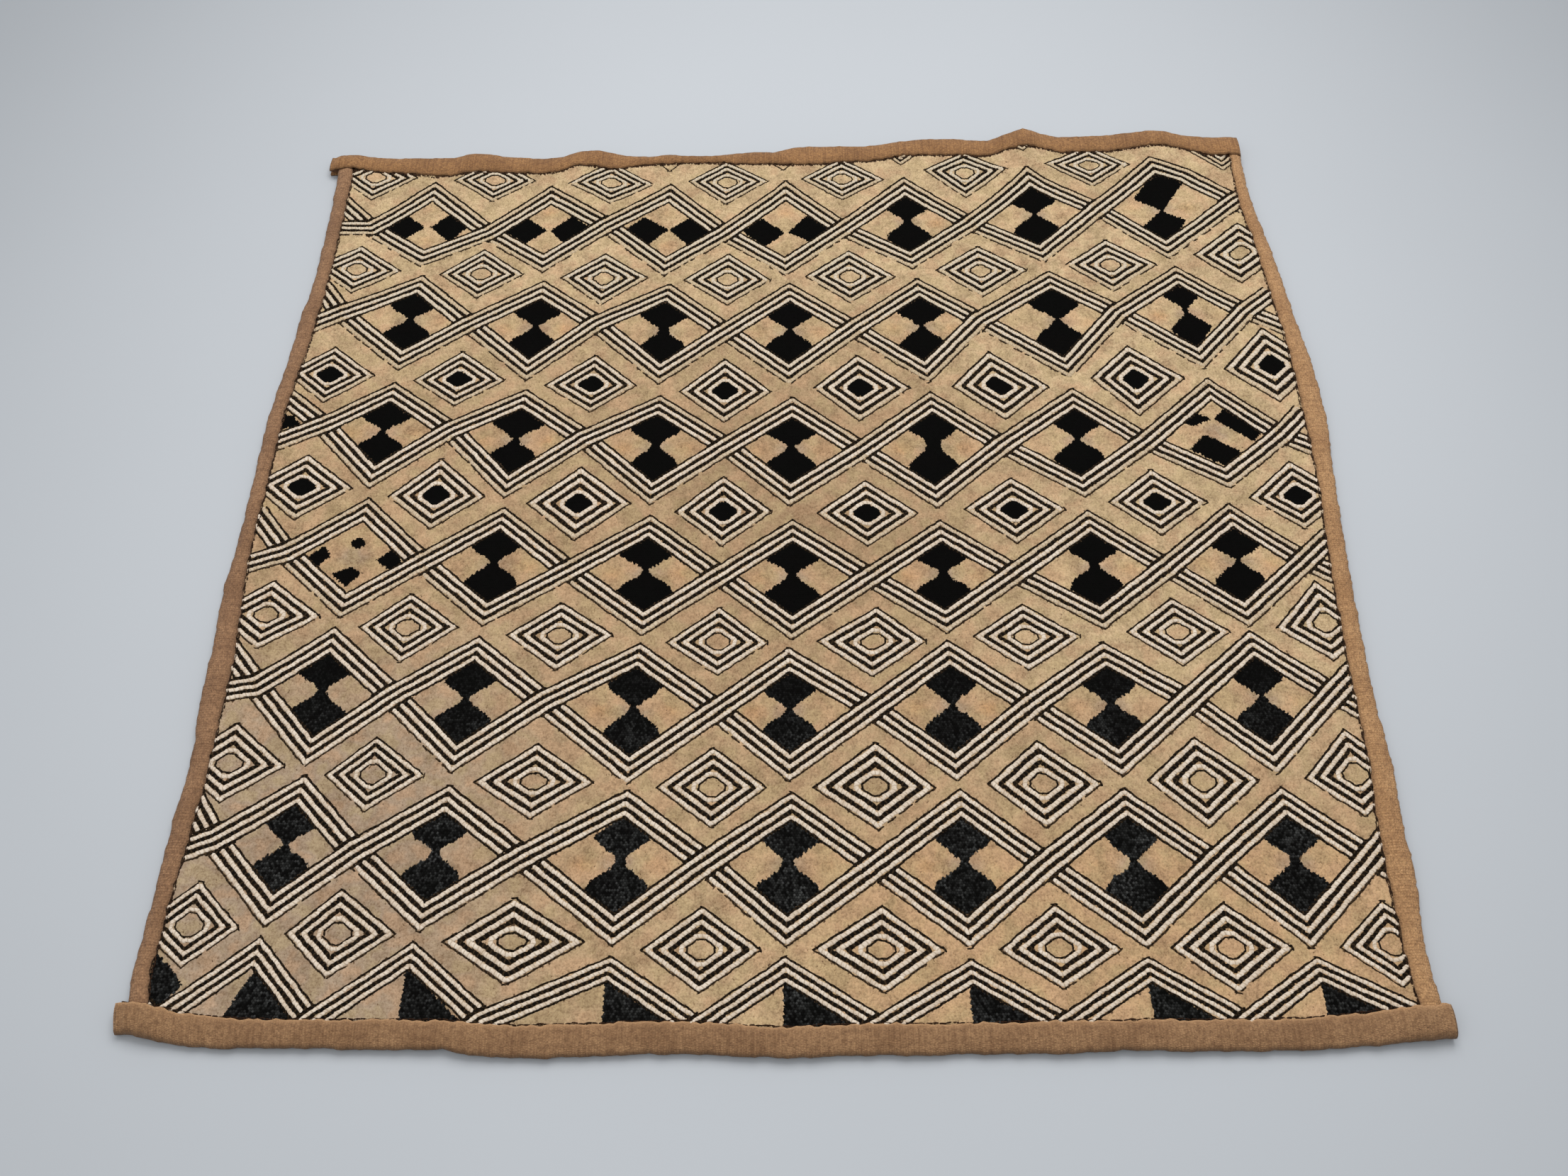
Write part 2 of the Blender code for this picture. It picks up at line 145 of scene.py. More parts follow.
# Small lozenges between the rows: middle, left corner, right corner, far corner, near corner
LOZENGES: tuple[tuple[tuple[float, ...], ...], ...] = (
    (
        (-272, 275, -299, -245, 295, 254), (-194, 272, -221, -168, 291, 253),
        (-118, 269, -147, -91, 287, 251), (-44, 272, -69, -17, 290, 251), (31, 273, 4, 58, 292, 255),
        (111, 282, 84, 138, 298, 257), (194, 287, 163, 219, 304, 268),
    ),
    (
        (-271, 188, -298, -244, 209.5, 167), (-194, 185, -220, -168, 208, 164),
        (-118, 182, -145, -91, 204, 158), (-41, 180, -69, -15, 204, 158), (34, 183, 6, 62, 207, 160),
        (115, 189, 87, 144, 211, 165), (196, 194, 168, 225, 217, 170), (278, 203, 249, 307, 231, 176),
    ),
    (
        (-273, 98, -299, -247, 121, 76), (-197, 94, -224, -170, 118, 74),
        (-118, 90, -147, -93, 115, 69), (-41, 85, -68, -14, 112, 61), (37, 88, 10, 67, 115, 62),
        (118, 89, 91, 148, 118, 63), (198, 96, 173, 228, 123, 66), (280, 103, 252, 308, 136, 75),
    ),
    (
        (-274, 11, -302, -246, 35, -12), (-199, 5, -226, -172, 33, -18), (-120, 0, -149, -91, 27, -26),
        (-40, -6, -67, -13, 20, -30), (39, -7, 11, 67, 17, -30), (120, -4, 92, 148, 19, -28),
        (199, 1, 172, 227, 25, -22), (277, 4, 250, 304, 30, -19),
    ),
    (
        (-277, -77, -305, -249, -54, -99), (-203, -84, -228, -176, -62, -106),
        (-123, -89, -151, -95, -68, -111), (-40, -94, -68, -15, -71, -114),
        (41, -93, 10, 67, -71, -115), (119, -90, 91, 147, -69, -111), (198, -87, 171, 225, -65, -108),
        (275, -85, 249, 301, -55, -106),
    ),
    (
        (-278, -168, -305, -251, -144, -189), (-208, -173, -231, -182, -151, -193),
        (-128, -177, -158, -99, -155, -197), (-41, -180, -69, -15, -157, -202),
        (39, -180, 7, 67, -154, -203), (119, -178, 92, 148, -153, -202),
        (197, -176, 170, 225, -151, -202), (272, -175, 247, 297, -147, -197),
    ),
    (
        (-278, -254, -302, -256.5, -231, -274), (-212, -257, -235, -184, -234, -279),
        (-131, -261, -163, -97, -239, -282), (-44, -265, -72, -17, -243, -286),
        (39, -265, 6, 67, -243, -286), (119, -265, 91, 147, -242, -284),
        (197, -264, 169, 225, -241, -286), (270, -264, 246, 294, -241, -284),
    ),
)
BLACK_CORE_ROWS = (2, 3)

# Lozenges that lean: row and middle, to where their far and near corners lie
LOZENGE_LEANS: dict[tuple[int, float], Place] = {
    (1, 278): (281, 275), (2, 118): (115, 121), (4, 41): (42.5, 39),
}

# Black patches that the rule for a cell doesn't give: corners in order round each patch
ODD_CELLS: dict[tuple[int, int], tuple[tuple[Place, ...], ...]] = {
    (0, 1): (
        ((-262, 229), (-249, 241), (-234, 228), (-247, 215)),
        ((-231, 228), (-218, 242), (-204, 231), (-218, 214)),
    ),
    (0, 2): (
        ((-186, 226), (-172, 238), (-156, 225), (-169, 212)),
        ((-155, 225), (-142, 239), (-128, 227), (-142, 210)),
    ),
    (0, 3): (
        ((-109, 224), (-95, 238), (-79, 226), (-92, 211)),
        ((-79, 226), (-66, 238), (-50, 226), (-66, 210)),
    ),
    (0, 4): (
        ((-34, 225), (-20, 236), (-5, 223), (-18, 210)),
        ((-4, 223), (10, 242), (24, 227), (11, 213)),
    ),
    (0, 7): (
        ((218, 255), (234, 278), (253, 271), (236, 243)),
        ((218, 225), (235, 244), (250, 235), (237, 213)),
    ),
    (1, 7): (
        ((225, 164), (236, 178), (251, 169), (239, 153), (240, 147), (236, 147), (235, 155)),
        ((226, 136), (238, 152), (251, 138), (240, 119)),
    ),
    (2, 7): (
        ((240, 62), (250, 74), (270, 55), (260, 45)),
        ((223, 39), (234, 51), (252, 37), (243, 25)),
        ((220, 61), (230, 68), (239, 62), (228, 57)),
    ),
    (3, 1): (
        ((-241, -28), (-236, -24), (-232, -29), (-237, -33)),
        ((-263, -38), (-254, -31), (-250, -38), (-257, -46)),
        ((-225, -41), (-217, -32), (-210, -44), (-216, -48)),
        ((-248, -50), (-238, -45), (-231, -49), (-239, -59)),
    ),
}
LOOSE_PATCHES: tuple[tuple[Place, ...], ...] = (
    ((-297, 66), (-288, 63), (-283, 57), (-297, 50)),
    ((-302, -268), (-292, -267), (-282, -275), (-275, -284), (-284, -294), (-302, -294)),
    ((-245.5, -278), (-250, -288), (-255, -300), (-245, -302)),
)

# Black triangles of the last row: upright side, its top and bottom, and the tip to the right
TRIANGLES: tuple[tuple[float, float, float, float], ...] = (
    (-245.5, -275, -297, -222), (-176.5, -277, -299, -155), (-86.5, -281, -301, -57), (-6.5, -281, -303, 22),
    (77, -283, -299.5, 100), (157, -283, -299, 180), (234, -282, -295, 262),
)

# Tips of a last far row that the far strip covers: tip, half its width at the strip, and its lines
VALLEYS: tuple[tuple[float, float, float, int], ...] = (
    (-81, 280, 11, 1), (-7, 280.5, 11, 1), (70, 285, 14, 4), (150, 294, 12, 4), (280, 279, 27, 6),
)


def smooth(value: np.ndarray) -> np.ndarray:
    """A soft step from 0 to 1."""
    t = np.clip(value, 0.0, 1.0)
    return t * t * (3.0 - 2.0 * t)


def linear(red: float, green: float, blue: float) -> Colour:
    """A colour as a screen shows it, from 0 to 255, in the linear numbers that a shader takes."""
    parts = (red / 255.0, green / 255.0, blue / 255.0)
    return tuple(p / 12.92 if p <= 0.04045 else ((p + 0.055) / 1.055) ** 2.4 for p in parts)


def tones(*colours: Colour) -> list[Colour]:
    """Several colours as a screen shows them, each in linear numbers."""
    return [linear(*colour) for colour in colours]


class Wobble:
    """Smooth unevenness of hand work: a few sine waves with seeded phases, from -1 to 1."""

    def __init__(self, rng: np.random.Generator, shortest: float, longest: float, waves: int = 5) -> None:
        """Set the waves.

        Args:
            rng: The source of phases.
            shortest: Shortest wavelength.
            longest: Longest wavelength.
            waves: How many waves are added.
        """
        self.lengths = np.geomspace(shortest, longest, waves) * rng.uniform(0.85, 1.15, waves)
        self.phases = rng.uniform(0.0, math.tau, waves)
        self.weights = rng.uniform(0.5, 1.0, waves) / math.sqrt(waves)

    def __call__(self, place: np.ndarray) -> np.ndarray:
        """Read the unevenness at places along a line."""
        turns = np.asarray(place, float)[..., None] / self.lengths * math.tau + self.phases
        return (np.sin(turns) * self.weights).sum(-1)


class CadSkin:
    """The surface of one CAD node, read by rays and by cuts across it."""

    ray_start = 0.1

    def __init__(self, node: str) -> None:
        """Take the node's mesh, which is in metres with its object at the origin."""
        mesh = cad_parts[node].data
        self.points = np.empty(len(mesh.vertices) * 3)
        mesh.vertices.foreach_get("co", self.points)
        self.points = self.points.reshape(-1, 3)
        self.edges = np.empty(len(mesh.edges) * 2, int)
        mesh.edges.foreach_get("vertices", self.edges)
        self.edges = self.edges.reshape(-1, 2)
        faces = [tuple(face.vertices) for face in mesh.polygons]
        self.tree = BVHTree.FromPolygons([tuple(p) for p in self.points], faces)

    def _hit(self, x: float, y: float, side: int) -> float:
        """Height where a ray from above, side 1, or from below, side -1, first meets the node."""
        hit = self.tree.ray_cast(Vector((x, y, side * self.ray_start)), Vector((0, 0, -side)))[0]
        return hit.z if hit else math.nan

    def top(self, x: float, y: float) -> float:
        """Height of the upper side at a place, or nan beside the node."""
        return self._hit(x, y, 1)

    def underside(self, x: float, y: float) -> float:
        """Height of the lower side at a place, or nan beside the node."""
        return self._hit(x, y, -1)

    def reach(self, axis: int, value: float) -> tuple[float, float]:
        """Cut the node across.

        Args:
            axis: 0 for a cut at one x, 1 for a cut at one y.
            value: Where the cut is.

        Returns:
            The lowest and the highest place of the cut along the other axis.
        """
        start = self.points[self.edges[:, 0]]
        end = self.points[self.edges[:, 1]]
        through = (start[:, axis] - value) * (end[:, axis] - value) <= 0.0
        start, end = start[through], end[through]
        span = end[:, axis] - start[:, axis]
        flat = np.abs(span) < 1e-12
        share = np.where(flat, 0.0, (value - start[:, axis]) / np.where(flat, 1, span))
        other = 1 - axis
        places = start[:, other] + share * (end[:, other] - start[:, other])
        return float(places.min()), float(places.max())


@dataclass
class Bed:
    """The underside of the CAD panel on a fine grid, on which the ground cloth is laid."""

    node: str = "panel"
    step: float = 2.5 * MM
    fills: int = 12
    skin: CadSkin = field(init=False)
    low: np.ndarray = field(init=False)
    grid: np.ndarray = field(init=False)

    def __post_init__(self) -> None:
        """Read the grid, and carry its edge values outwards where the panel ends."""
        self.skin = CadSkin(self.node)
        self.low = self.skin.points.min(0)[:2]
        counts = np.ceil((self.skin.points.max(0)[:2] - self.low) / self.step).astype(int) + 1
        places = [self.low[i] + self.step * np.arange(counts[i]) for i in (0, 1)]
        self.grid = np.array([[self.skin.underside(x, y) for y in places[1]] for x in places[0]])
        for _ in range(self.fills):
            empty = np.isnan(self.grid)
            if not empty.any():
                break
            padded = np.pad(self.grid, 1, constant_values=math.nan)
            around = np.stack([padded[:-2, 1:-1], padded[2:, 1:-1], padded[1:-1, :-2], padded[1:-1, 2:]])
            known = ~np.isnan(around)
            total = np.where(known, around, 0.0).sum(0)
            self.grid = np.where(empty & known.any(0), total / np.maximum(known.sum(0), 1), self.grid)
        self.grid = np.nan_to_num(self.grid, nan=0.0)

    def height(self, x: np.ndarray, y: np.ndarray) -> np.ndarray:
        """Height of the bed at places of the cloth, in metres."""
        u = np.clip((np.asarray(x) - self.low[0]) / self.step, 0, self.grid.shape[0] - 1.001)
        v = np.clip((np.asarray(y) - self.low[1]) / self.step, 0, self.grid.shape[1] - 1.001)
        i, j = u.astype(int), v.astype(int)
        fu, fv = u - i, v - j
        near = self.grid[i, j] * (1 - fu) + self.grid[i + 1, j] * fu
        far = self.grid[i, j + 1] * (1 - fu) + self.grid[i + 1, j + 1] * fu
        return near * (1 - fv) + far * fv


class Side(Enum):
    """An edge of the cloth: the CAD strip on it, whether it runs along x, and its outer sign."""

    FAR = ("binding_top", True, 1)
    NEAR = ("binding_bottom", True, -1)
    LEFT = ("binding_left", False, -1)
    RIGHT = ("binding_right", False, 1)

    @property
    def node(self) -> str:
        """Name of the CAD strip."""
        return self.value[0]

    @property
    def along_x(self) -> bool:
        """True where the strip runs along x."""
        return self.value[1]

    @property
    def sign(self) -> int:
        """Sign of the outer direction."""
        return self.value[2]

    @property
    def clockwise(self) -> bool:
        """True where a strip's rings run so that its faces look out as first made."""
        return (self.sign > 0) == self.along_x


class StripLine:
    """Where one CAD strip's outer fold and inner edge run."""

    def __init__(self, side: Side, step: float = 2.0 * MM, skip: float = 3.2 * MM) -> None:
        """Cut the strip across at even places.

        Args:
            side: The edge of the cloth.
            step: Distance between the cuts.
            skip: Length at each end that isn't cut, where the end runs askew.
        """
        self.side = side
        self.skin = CadSkin(side.node)
        axis = 0 if side.along_x else 1
        self.low = float(self.skin.points[:, axis].min())
        self.high = float(self.skin.points[:, axis].max())
        count = int((self.high - self.low - 2 * skip) / step) + 1
        self.along = np.linspace(self.low + skip, self.high - skip, count)
        cuts = np.array([self.skin.reach(axis, value) for value in self.along])
        self.outer = cuts[:, 1] if side.sign > 0 else cuts[:, 0]
        self.inner = cuts[:, 0] if side.sign > 0 else cuts[:, 1]

    def inner_at(self, along: np.ndarray) -> np.ndarray:
        """Place of the strip's inner edge."""
        return np.interp(along, self.along, self.inner)

    def outer_at(self, along: np.ndarray) -> np.ndarray:
        """Place of the strip's fold."""
        return np.interp(along, self.along, self.outer)


@dataclass
class Field:
    """The worked field inside the four strips."""

    strips: dict[Side, StripLine]

    def inside(self, x: np.ndarray, y: np.ndarray, margin: float) -> np.ndarray:
        """Tell which places lie in the field.

        Args:
            x: Places across, in metres.
            y: Places away, in metres.
            margin: Distance kept from the strips' inner edges, in metres.

        Returns:
            True where a place is inside.
        """
        return (
            (x > self.strips[Side.LEFT].inner_at(y) + margin)
            & (x < self.strips[Side.RIGHT].inner_at(y) - margin)
            & (y > self.strips[Side.NEAR].inner_at(x) + margin)
            & (y < self.strips[Side.FAR].inner_at(x) - margin)
        )


class Thread(Enum):
    """What a stitched line is worked in. GAP stands for a stitch that is worn away or left out."""

    CREAM = "cream"
    SHADED = "shaded"
    FADED = "faded"
    BLACK = "black"
    BROWN = "brown"
    GAP = "gap"


THIN_THREADS = (Thread.BLACK, Thread.BROWN)


@dataclass
class Line:
    """One stitched line: its places in millimetres, the thread at each, and its width."""

    places: np.ndarray
    threads: np.ndarray
    width: float
    closed: bool = False

    def beside(self, index: np.ndarray, reach: int) -> np.ndarray:
        """Places some steps after, or with a minus before, the numbered ones."""
        return self.places.take(index + reach, axis=0, mode="wrap" if self.closed else "clip")


def mitred(points: np.ndarray, distance: float, closed: bool = False) -> np.ndarray:
    """Move a line sideways and keep its corners sharp.

    Args:
        points: Corners of the line.
        distance: How far to the left of its direction it moves.
        closed: True for a ring.

    Returns:
        The moved corners.
    """
    steps = np.diff(np.vstack([points, points[:1]]) if closed else points, axis=0)
    ways = steps / np.maximum(np.linalg.norm(steps, axis=1, keepdims=True), 1e-9)
    sides = np.stack([-ways[:, 1], ways[:, 0]], axis=1)
    before = np.roll(sides, 1, axis=0) if closed else np.vstack([sides[:1], sides])
    after = sides if closed else np.vstack([sides, sides[-1:]])
    middle = before + after
    return points + middle * (2.0 * distance / np.maximum((middle ** 2).sum(1, keepdims=True), 0.4))


def cut_corners(points: np.ndarray, cut: float) -> np.ndarray:
    """Blunt the corners of a ring.

    Args:
        points: Corners of the ring.
        cut: How far from each corner the cuts begin.

    Returns:
        The ring with two corners for each old one.
    """
    after = np.roll(points, -1, axis=0) - points
    before = np.roll(points, 1, axis=0) - points
    ends = [points + cut * way / np.linalg.norm(way, axis=1, keepdims=True) for way in (before, after)]
    return np.stack(ends, axis=1).reshape(-1, 2)


def walk(points: np.ndarray, step: float, closed: bool = False) -> tuple[np.ndarray, np.ndarray]:
    """Places at even steps along a line.

    Args:
        points: Corners of the line.
        step: About how far apart the places are.
        closed: True for a ring.

    Returns:
        The places, and for each the number of the corner that it has passed, with its share on.
    """
    if closed:
        points = np.vstack([points, points[:1]])
    lengths = np.linalg.norm(np.diff(points, axis=0), axis=1)
    total = np.concatenate([[0.0], np.cumsum(lengths)])
    count = max(int(round(total[-1] / step)), 3)
    at = (np.arange(count) + 0.5) * total[-1] / count
    corner = np.interp(at, total, np.arange(len(points)))
    return np.stack([np.interp(at, total, points[:, i]) for i in (0, 1)], axis=1), corner


@dataclass
class Chart:
    """The whole pattern as lines and patches, worked out from the lattice by rule, in millimetres."""

    thin: float = 1.2
    cream: float = 2.05
    black: float = 2.05
    far_cream: float = 2.05
    far_black: float = 1.85
    corner_reach: float = 1.2
    gap: float = 0.9
    touch: float = -0.4
    # Width of the caps, dark stitches of painted shade where a falling leg ends against the band over it, how
    # far off that band they lie, and the fewest places a cap keeps
    cap: float = 1.3
    cap_off: float = 0.3
    least_cap: int = 6
    least_run: int = 4
    past_right: Place = (78.0, 4.0)
    tan_core_half: float = 6.6
    black_core_half: float = 8.3
    core_round: float = 2.4
    ring_thin: Place = (0.9, 0.8)
    ring_shift: tuple[Place, ...] = ((0.0, -0.8), (0.0, -1.8), (1.2, -0.8), (0.0, -0.3))
    blunt_from: int = 5
    core_overlap: float = 0.2
    wander: float = 0.24
    wander_waves: Place = (7.0, 46.0)
    dash: float = 2.6
    band_dots: Place = (0.26, 0.05)
    ring_dots: Place = (0.16, 0.05)
    valley_slope: float = 0.95
    valley_widths: tuple[float, ...] = (1.1, 1.7, 1.5, 1.9, 1.5, 1.9)
    cell_inset: Place = (10.0, 17.0)
    core_away: float = 15.0
    core_across: float = 18.0
    patch_tip: float = 2.4
    patch_ragged: float = 0.45
    triangle_shift: tuple[Place, ...] = ((0, 3), (0, -8), (12, -6), (4, 0))
    lines: list[Line] = field(default_factory=list)
    black_patches: list[np.ndarray] = field(default_factory=list)
    cells: list[np.ndarray] = field(default_factory=list)
    necks: list[Place] = field(default_factory=list)
    cores: list[Place] = field(default_factory=list)

    def __post_init__(self) -> None:
        """Draw the chart."""
        self.rng = np.random.default_rng(SEED)
        for row in range(len(CELL_TOPS)):
            self._band_row(row)
        for row, lozenges in enumerate(LOZENGES):
            for corners in lozenges:
                self._lozenge(row, corners)
        for tip in VALLEYS:
            self._valley(*tip)
        for row in range(len(CELL_TOPS) - 1):
            for cell in range(1, CELLS + 1):
                self._cell_patches(row, cell)
        self.black_patches += [np.array(patch, float) for patch in LOOSE_PATCHES]
        for side, top, bottom, tip in TRIANGLES:
            corners = np.array([(side, top), (side, bottom), (tip, bottom), (tip, bottom)], float)
            self.black_patches.append(corners + self.triangle_shift)

    def _seven(self, row: int) -> tuple[list[float], tuple[Thread, ...]]:
        """Widths and threads of the seven lines that a band or a lozenge has."""
        cream, black = (self.far_cream, self.far_black) if row < FAR_ROWS else (self.cream, self.black)
        widths = [self.thin, cream, black, cream, black, cream, self.thin]
        return widths, (Thread.BLACK, Thread.CREAM) * 3 + (Thread.BLACK,)

    def _profile(self, row: int, total: float) -> list[tuple[float, float, Thread]]:
        """Lines of a band from one edge to the other: middle, width and thread of each."""
        widths, threads = self._seven(row)
        scale = total / sum(widths)
        lines, edge = [], 0.0
        for width, thread in zip(widths, threads):
            lines.append(((edge + width / 2) * scale, width * scale, thread))
            edge += width
        return lines

    def _wander(self, places: np.ndarray, closed: bool = False) -> np.ndarray:
        """Add the small unevenness of a hand-worked line, which fades out where a ring closes."""
        along = np.arange(len(places)) * STEP
        moves = np.stack([self.wander * Wobble(self.rng, *self.wander_waves)(along) for _ in (0, 1)], axis=1)
        if closed:
            from_end = np.minimum(along, along[-1] - along)
            moves = moves * smooth(from_end / 5.0)[:, None]
        return places + moves

    def _band_row(self, row: int) -> None:
        """Draw the two zigzag bands of one row, which pass over and under each other."""
        total = BAND_WIDTHS[row]
        profile = self._profile(row, total)
        half = total / 2
        reach = half * self.corner_reach
        tops = [(x, y - reach) for x, y in CELL_TOPS[row]]
        bottoms = [(x, y + reach) for x, y in CELL_BOTTOMS[row]]
        cross = CROSSINGS[row]
        tops = [LEFT_STARTS[row], *tops, RIGHT_EXITS[row]]
        entry = LEFT_ENTRIES[row]
        last = (bottoms[-1][0] + self.past_right[0], bottoms[-1][1] + self.past_right[1])
        bottoms = [(2 * entry[0] - cross[0][0], 2 * entry[1] - cross[0][1]), *bottoms, last]
        # Caps of dark stitches, painted shade where each falling leg ends against the band over it
        for cell in range(CELLS + 1):
            self._shade_caps(row, cell, bottoms, tops, half)
        for start in (0, 1):
            corners: list[Place] = []
            marks: list[tuple[int, bool, bool]] = []
            for cell in range(CELLS + 1):
                rising = (cell + start) % 2 == 0
                leg = self._leg(row, cell, rising, bottoms, tops)
                cross_at = leg.index(cross[cell])
                for index, place in enumerate(leg[:-1] if cell < CELLS else leg):
                    corners.append(place)
                    marks.append((cell, rising, (index >= cross_at) == rising))
            over = [self._leg(row, c, True, bottoms, tops) for c in range(CELLS + 1)]
            self._strand(row, np.array(corners, float), marks, profile, half, over)

    @staticmethod
    def _leg(row: int, cell: int, rising: bool, low: list[Place], top: list[Place]) -> list[Place]:
        """Corners of one leg of a band's middle line, from left to right."""
        cross = CROSSINGS[row][cell]
        leg = [low[cell], cross, top[cell + 1]] if rising else [top[cell], cross, low[cell + 1]]
        bend = BENDS.get((row, cell, rising))
        if bend:
            leg.append(bend)
            leg.sort()
        return leg

    def _shade_caps(self, row: int, cell: int, low: list[Place], top: list[Place], half: float) -> None:
        """Close the ends of a falling leg with dark thread on both sides of the band that passes over it, as
        painted shade where the one meets the other.
        """
        over = np.array(self._leg(row, cell, True, low, top), float)
        under = np.array(self._leg(row, cell, False, low, top), float)
        for sign in (1, -1):
            places, _ = walk(mitred(over, sign * (half + self.cap_off)), STEP)
            places = places[distance_to(places, under) < half - self.cap_off]
            if len(places) > self.least_cap:
                self.lines.append(Line(places, np.full(len(places), Thread.BLACK, object), self.cap))

    def _strand(
        self,
        row: int,
        corners: np.ndarray,
        marks: list[tuple[int, bool, bool]],
        profile: list[tuple[float, float, Thread]],
        half: float,
        over: list[list[Place]],
    ) -> None:
        """Draw the seven lines of one strand.

        Args:
            row: Row of cells.
            corners: Corners of its middle line.
            marks: For each corner, the cell, whether the leg after it rises, and whether it is near a top.
            profile: Lines across the band.
            half: Half the band's width.
            over: Middle lines of the rising legs, which the falling ones pass under.
        """
        last = len(profile) - 1
        for number, (middle, width, thread) in enumerate(profile):
            places, at = walk(mitred(corners, half - middle), STEP)
            places = self._wander(places)
            leg = np.minimum(at.astype(int), len(corners) - 2)
            cell = np.array([marks[i][0] for i in leg])
            rising = np.array([marks[i][1] for i in leg])
            by_top = np.array([marks[i][2] for i in leg])
            keep = np.ones(len(places), bool)
            clear = half + (self.touch if thread in THIN_THREADS else self.gap)
            for c in range(CELLS + 1):
                here = (cell == c) & ~rising
                if here.any():
                    keep[here] = distance_to(places[here], np.array(over[c], float)) > clear
            threads = np.full(len(places), thread, object)
            if number == last:
                threads[~by_top] = Thread.BROWN
                self._drop_dashes(threads, ~by_top, self.band_dots[row >= FAR_ROWS])
            if number in (1, last - 1) and row < SHADED_ROWS:
                outside = by_top if number == 1 else ~by_top
                threads[outside] = Thread.FADED if row < FAR_ROWS and number > 1 else Thread.SHADED
            self._runs(places, threads, keep, width)

    def _drop_dashes(self, threads: np.ndarray, where: np.ndarray, share: float) -> None:
        """Leave out a share of a thin line's stitches in some places, so that it reads as dots."""
        dash = (np.arange(len(threads)) * STEP / self.dash).astype(int)
        dropped = self.rng.uniform(0, 1, dash.max() + 1) < share
        threads[where & dropped[dash]] = Thread.GAP

    def _runs(self, places: np.ndarray, threads: np.ndarray, keep: np.ndarray, width: float) -> None:
        """Add a line in the runs where it is kept."""
        edges = np.flatnonzero(np.diff(np.concatenate([[0], keep.astype(int), [0]])))
        for start, end in zip(edges[::2], edges[1::2]):
            if end - start > self.least_run:
                self.lines.append(Line(places[start:end], threads[start:end], width))

    def _lozenge(self, row: int, corners: tuple[float, ...]) -> None:
        """Draw one lozenge of nested rings."""
        x, y, left, right, far, near = corners
        far_x, near_x = LOZENGE_LEANS.get((row, x), (x, x))
        ring = np.array([(left, y), (near_x, near), (right, y), (far_x, far)], float) + self.ring_shift
        slope = math.atan2(far - near, right - left)
        tan_core = row not in BLACK_CORE_ROWS
        core_half = self.tan_core_half if tan_core else self.black_core_half
        span = ((right - left) / 2 - core_half) * math.sin(slope)
        widths, threads = self._seven(row)
        widths[0] *= self.ring_thin[0]
        widths[-1] *= self.ring_thin[1]
        if not tan_core:
            widths.pop()
        scale = span / sum(widths)
        edge = 0.0
        for number, (width, thread) in enumerate(zip(widths, threads)):
            corners = mitred(ring, (edge + width / 2) * scale, closed=True)
            if number >= self.blunt_from:
                corners = cut_corners(corners, self.core_round)
            places, at = walk(corners, STEP, closed=True)
            places = self._wander(places, closed=True)
            kinds = np.full(len(places), thread, object)
            near_half = at < 2.0
            if number == 0:
                kinds[near_half] = Thread.BROWN
                self._drop_dashes(kinds, near_half, self.ring_dots[row >= FAR_ROWS])
            if number == 1 and row < SHADED_ROWS:
                kinds[near_half] = Thread.FADED if row < FAR_ROWS else Thread.SHADED
            self.lines.append(Line(places, kinds, width * scale, closed=True))
            edge += width
        if not tan_core:
            core = mitred(ring, span - self.core_overlap, closed=True)
            self.black_patches.append(cut_corners(core, self.core_round))

    def _valley(self, x: float, y: float, half: float, count: int) -> None:
        """Draw the nested tips of the row that the far strip covers."""
        rim = y + half * self.valley_slope
        corners = np.array([(x - half, rim), (x, y), (x + half, rim)], float)
        threads = (Thread.BROWN, Thread.FADED, Thread.BLACK, Thread.SHADED, Thread.BLACK, Thread.CREAM)
        edge = 0.0
        for width, thread in list(zip(self.valley_widths, threads))[:count]:
            places, _ = walk(mitred(corners, edge + width / 2), STEP)
            self.lines.append(Line(self._wander(places), np.full(len(places), thread, object), width))
            edge += width

    def _cell_patches(self, row: int, cell: int) -> None:
        """Add the black lozenges of one cell."""
        top_x, top_y = CELL_TOPS[row][cell - 1]
        low_x, low_y = CELL_BOTTOMS[row][cell - 1]
        left, right = CROSSINGS[row][cell - 1], CROSSINGS[row][cell]
        across, away = self.cell_inset
        far, near = (top_x, top_y - away), (low_x, low_y + away)
        inside = (far, (right[0] - across, right[1]), near, (left[0] + across, left[1]))
        self.cells.append(np.array(inside, float))
        x, y = (top_x + low_x) / 2, (top_y + low_y) / 2
        if (row, cell) in SIDE_BY_SIDE:
            self.cores += [(x, y - self.core_away), (x, y + self.core_away)]
        else:
            self.necks.append((x, y))
            self.cores += [(x - self.core_across, y), (x + self.core_across, y)]
        if (row, cell) in ODD_CELLS:
            self.black_patches += [self._ragged(np.array(p, float)) for p in ODD_CELLS[(row, cell)]]
            return
        deep = BAND_WIDTHS[row] * self.corner_reach
        far_tip = np.array([top_x, top_y - deep])
        near_tip = np.array([low_x, low_y + deep])
        span = far_tip[1] - near_tip[1]
        neck = WIDE_NECKS.get((row, cell), self.rng.uniform(0.6, 2.2))
        ends = ((far_tip, -1.0, UPPER_PATCH), (near_tip, 1.0, LOWER_PATCH))
        for (tip, sign, shape), share, stretch in zip(ends, PATCH_SHARES, PATCH_STRETCH[row >= SHADED_ROWS]):
            side = [(half, depth * span / PATCH_SPAN) for half, depth in shape]
            side = np.array(side + [(neck, span * share)], float)
            side[:, 0] = np.maximum(side[:, 0] * stretch * self.rng.uniform(0.96, 1.04), neck)
            other = side[::-1] * (-1.0, 1.0)
            other[:, 0] *= self.rng.uniform(0.95, 1.05)
            ring = np.vstack([[(0.0, -self.patch_tip)], side, other])
            ring[:, 0] += (x - tip[0]) * ring[:, 1] / (span * share)
            ring[:, 1] *= sign
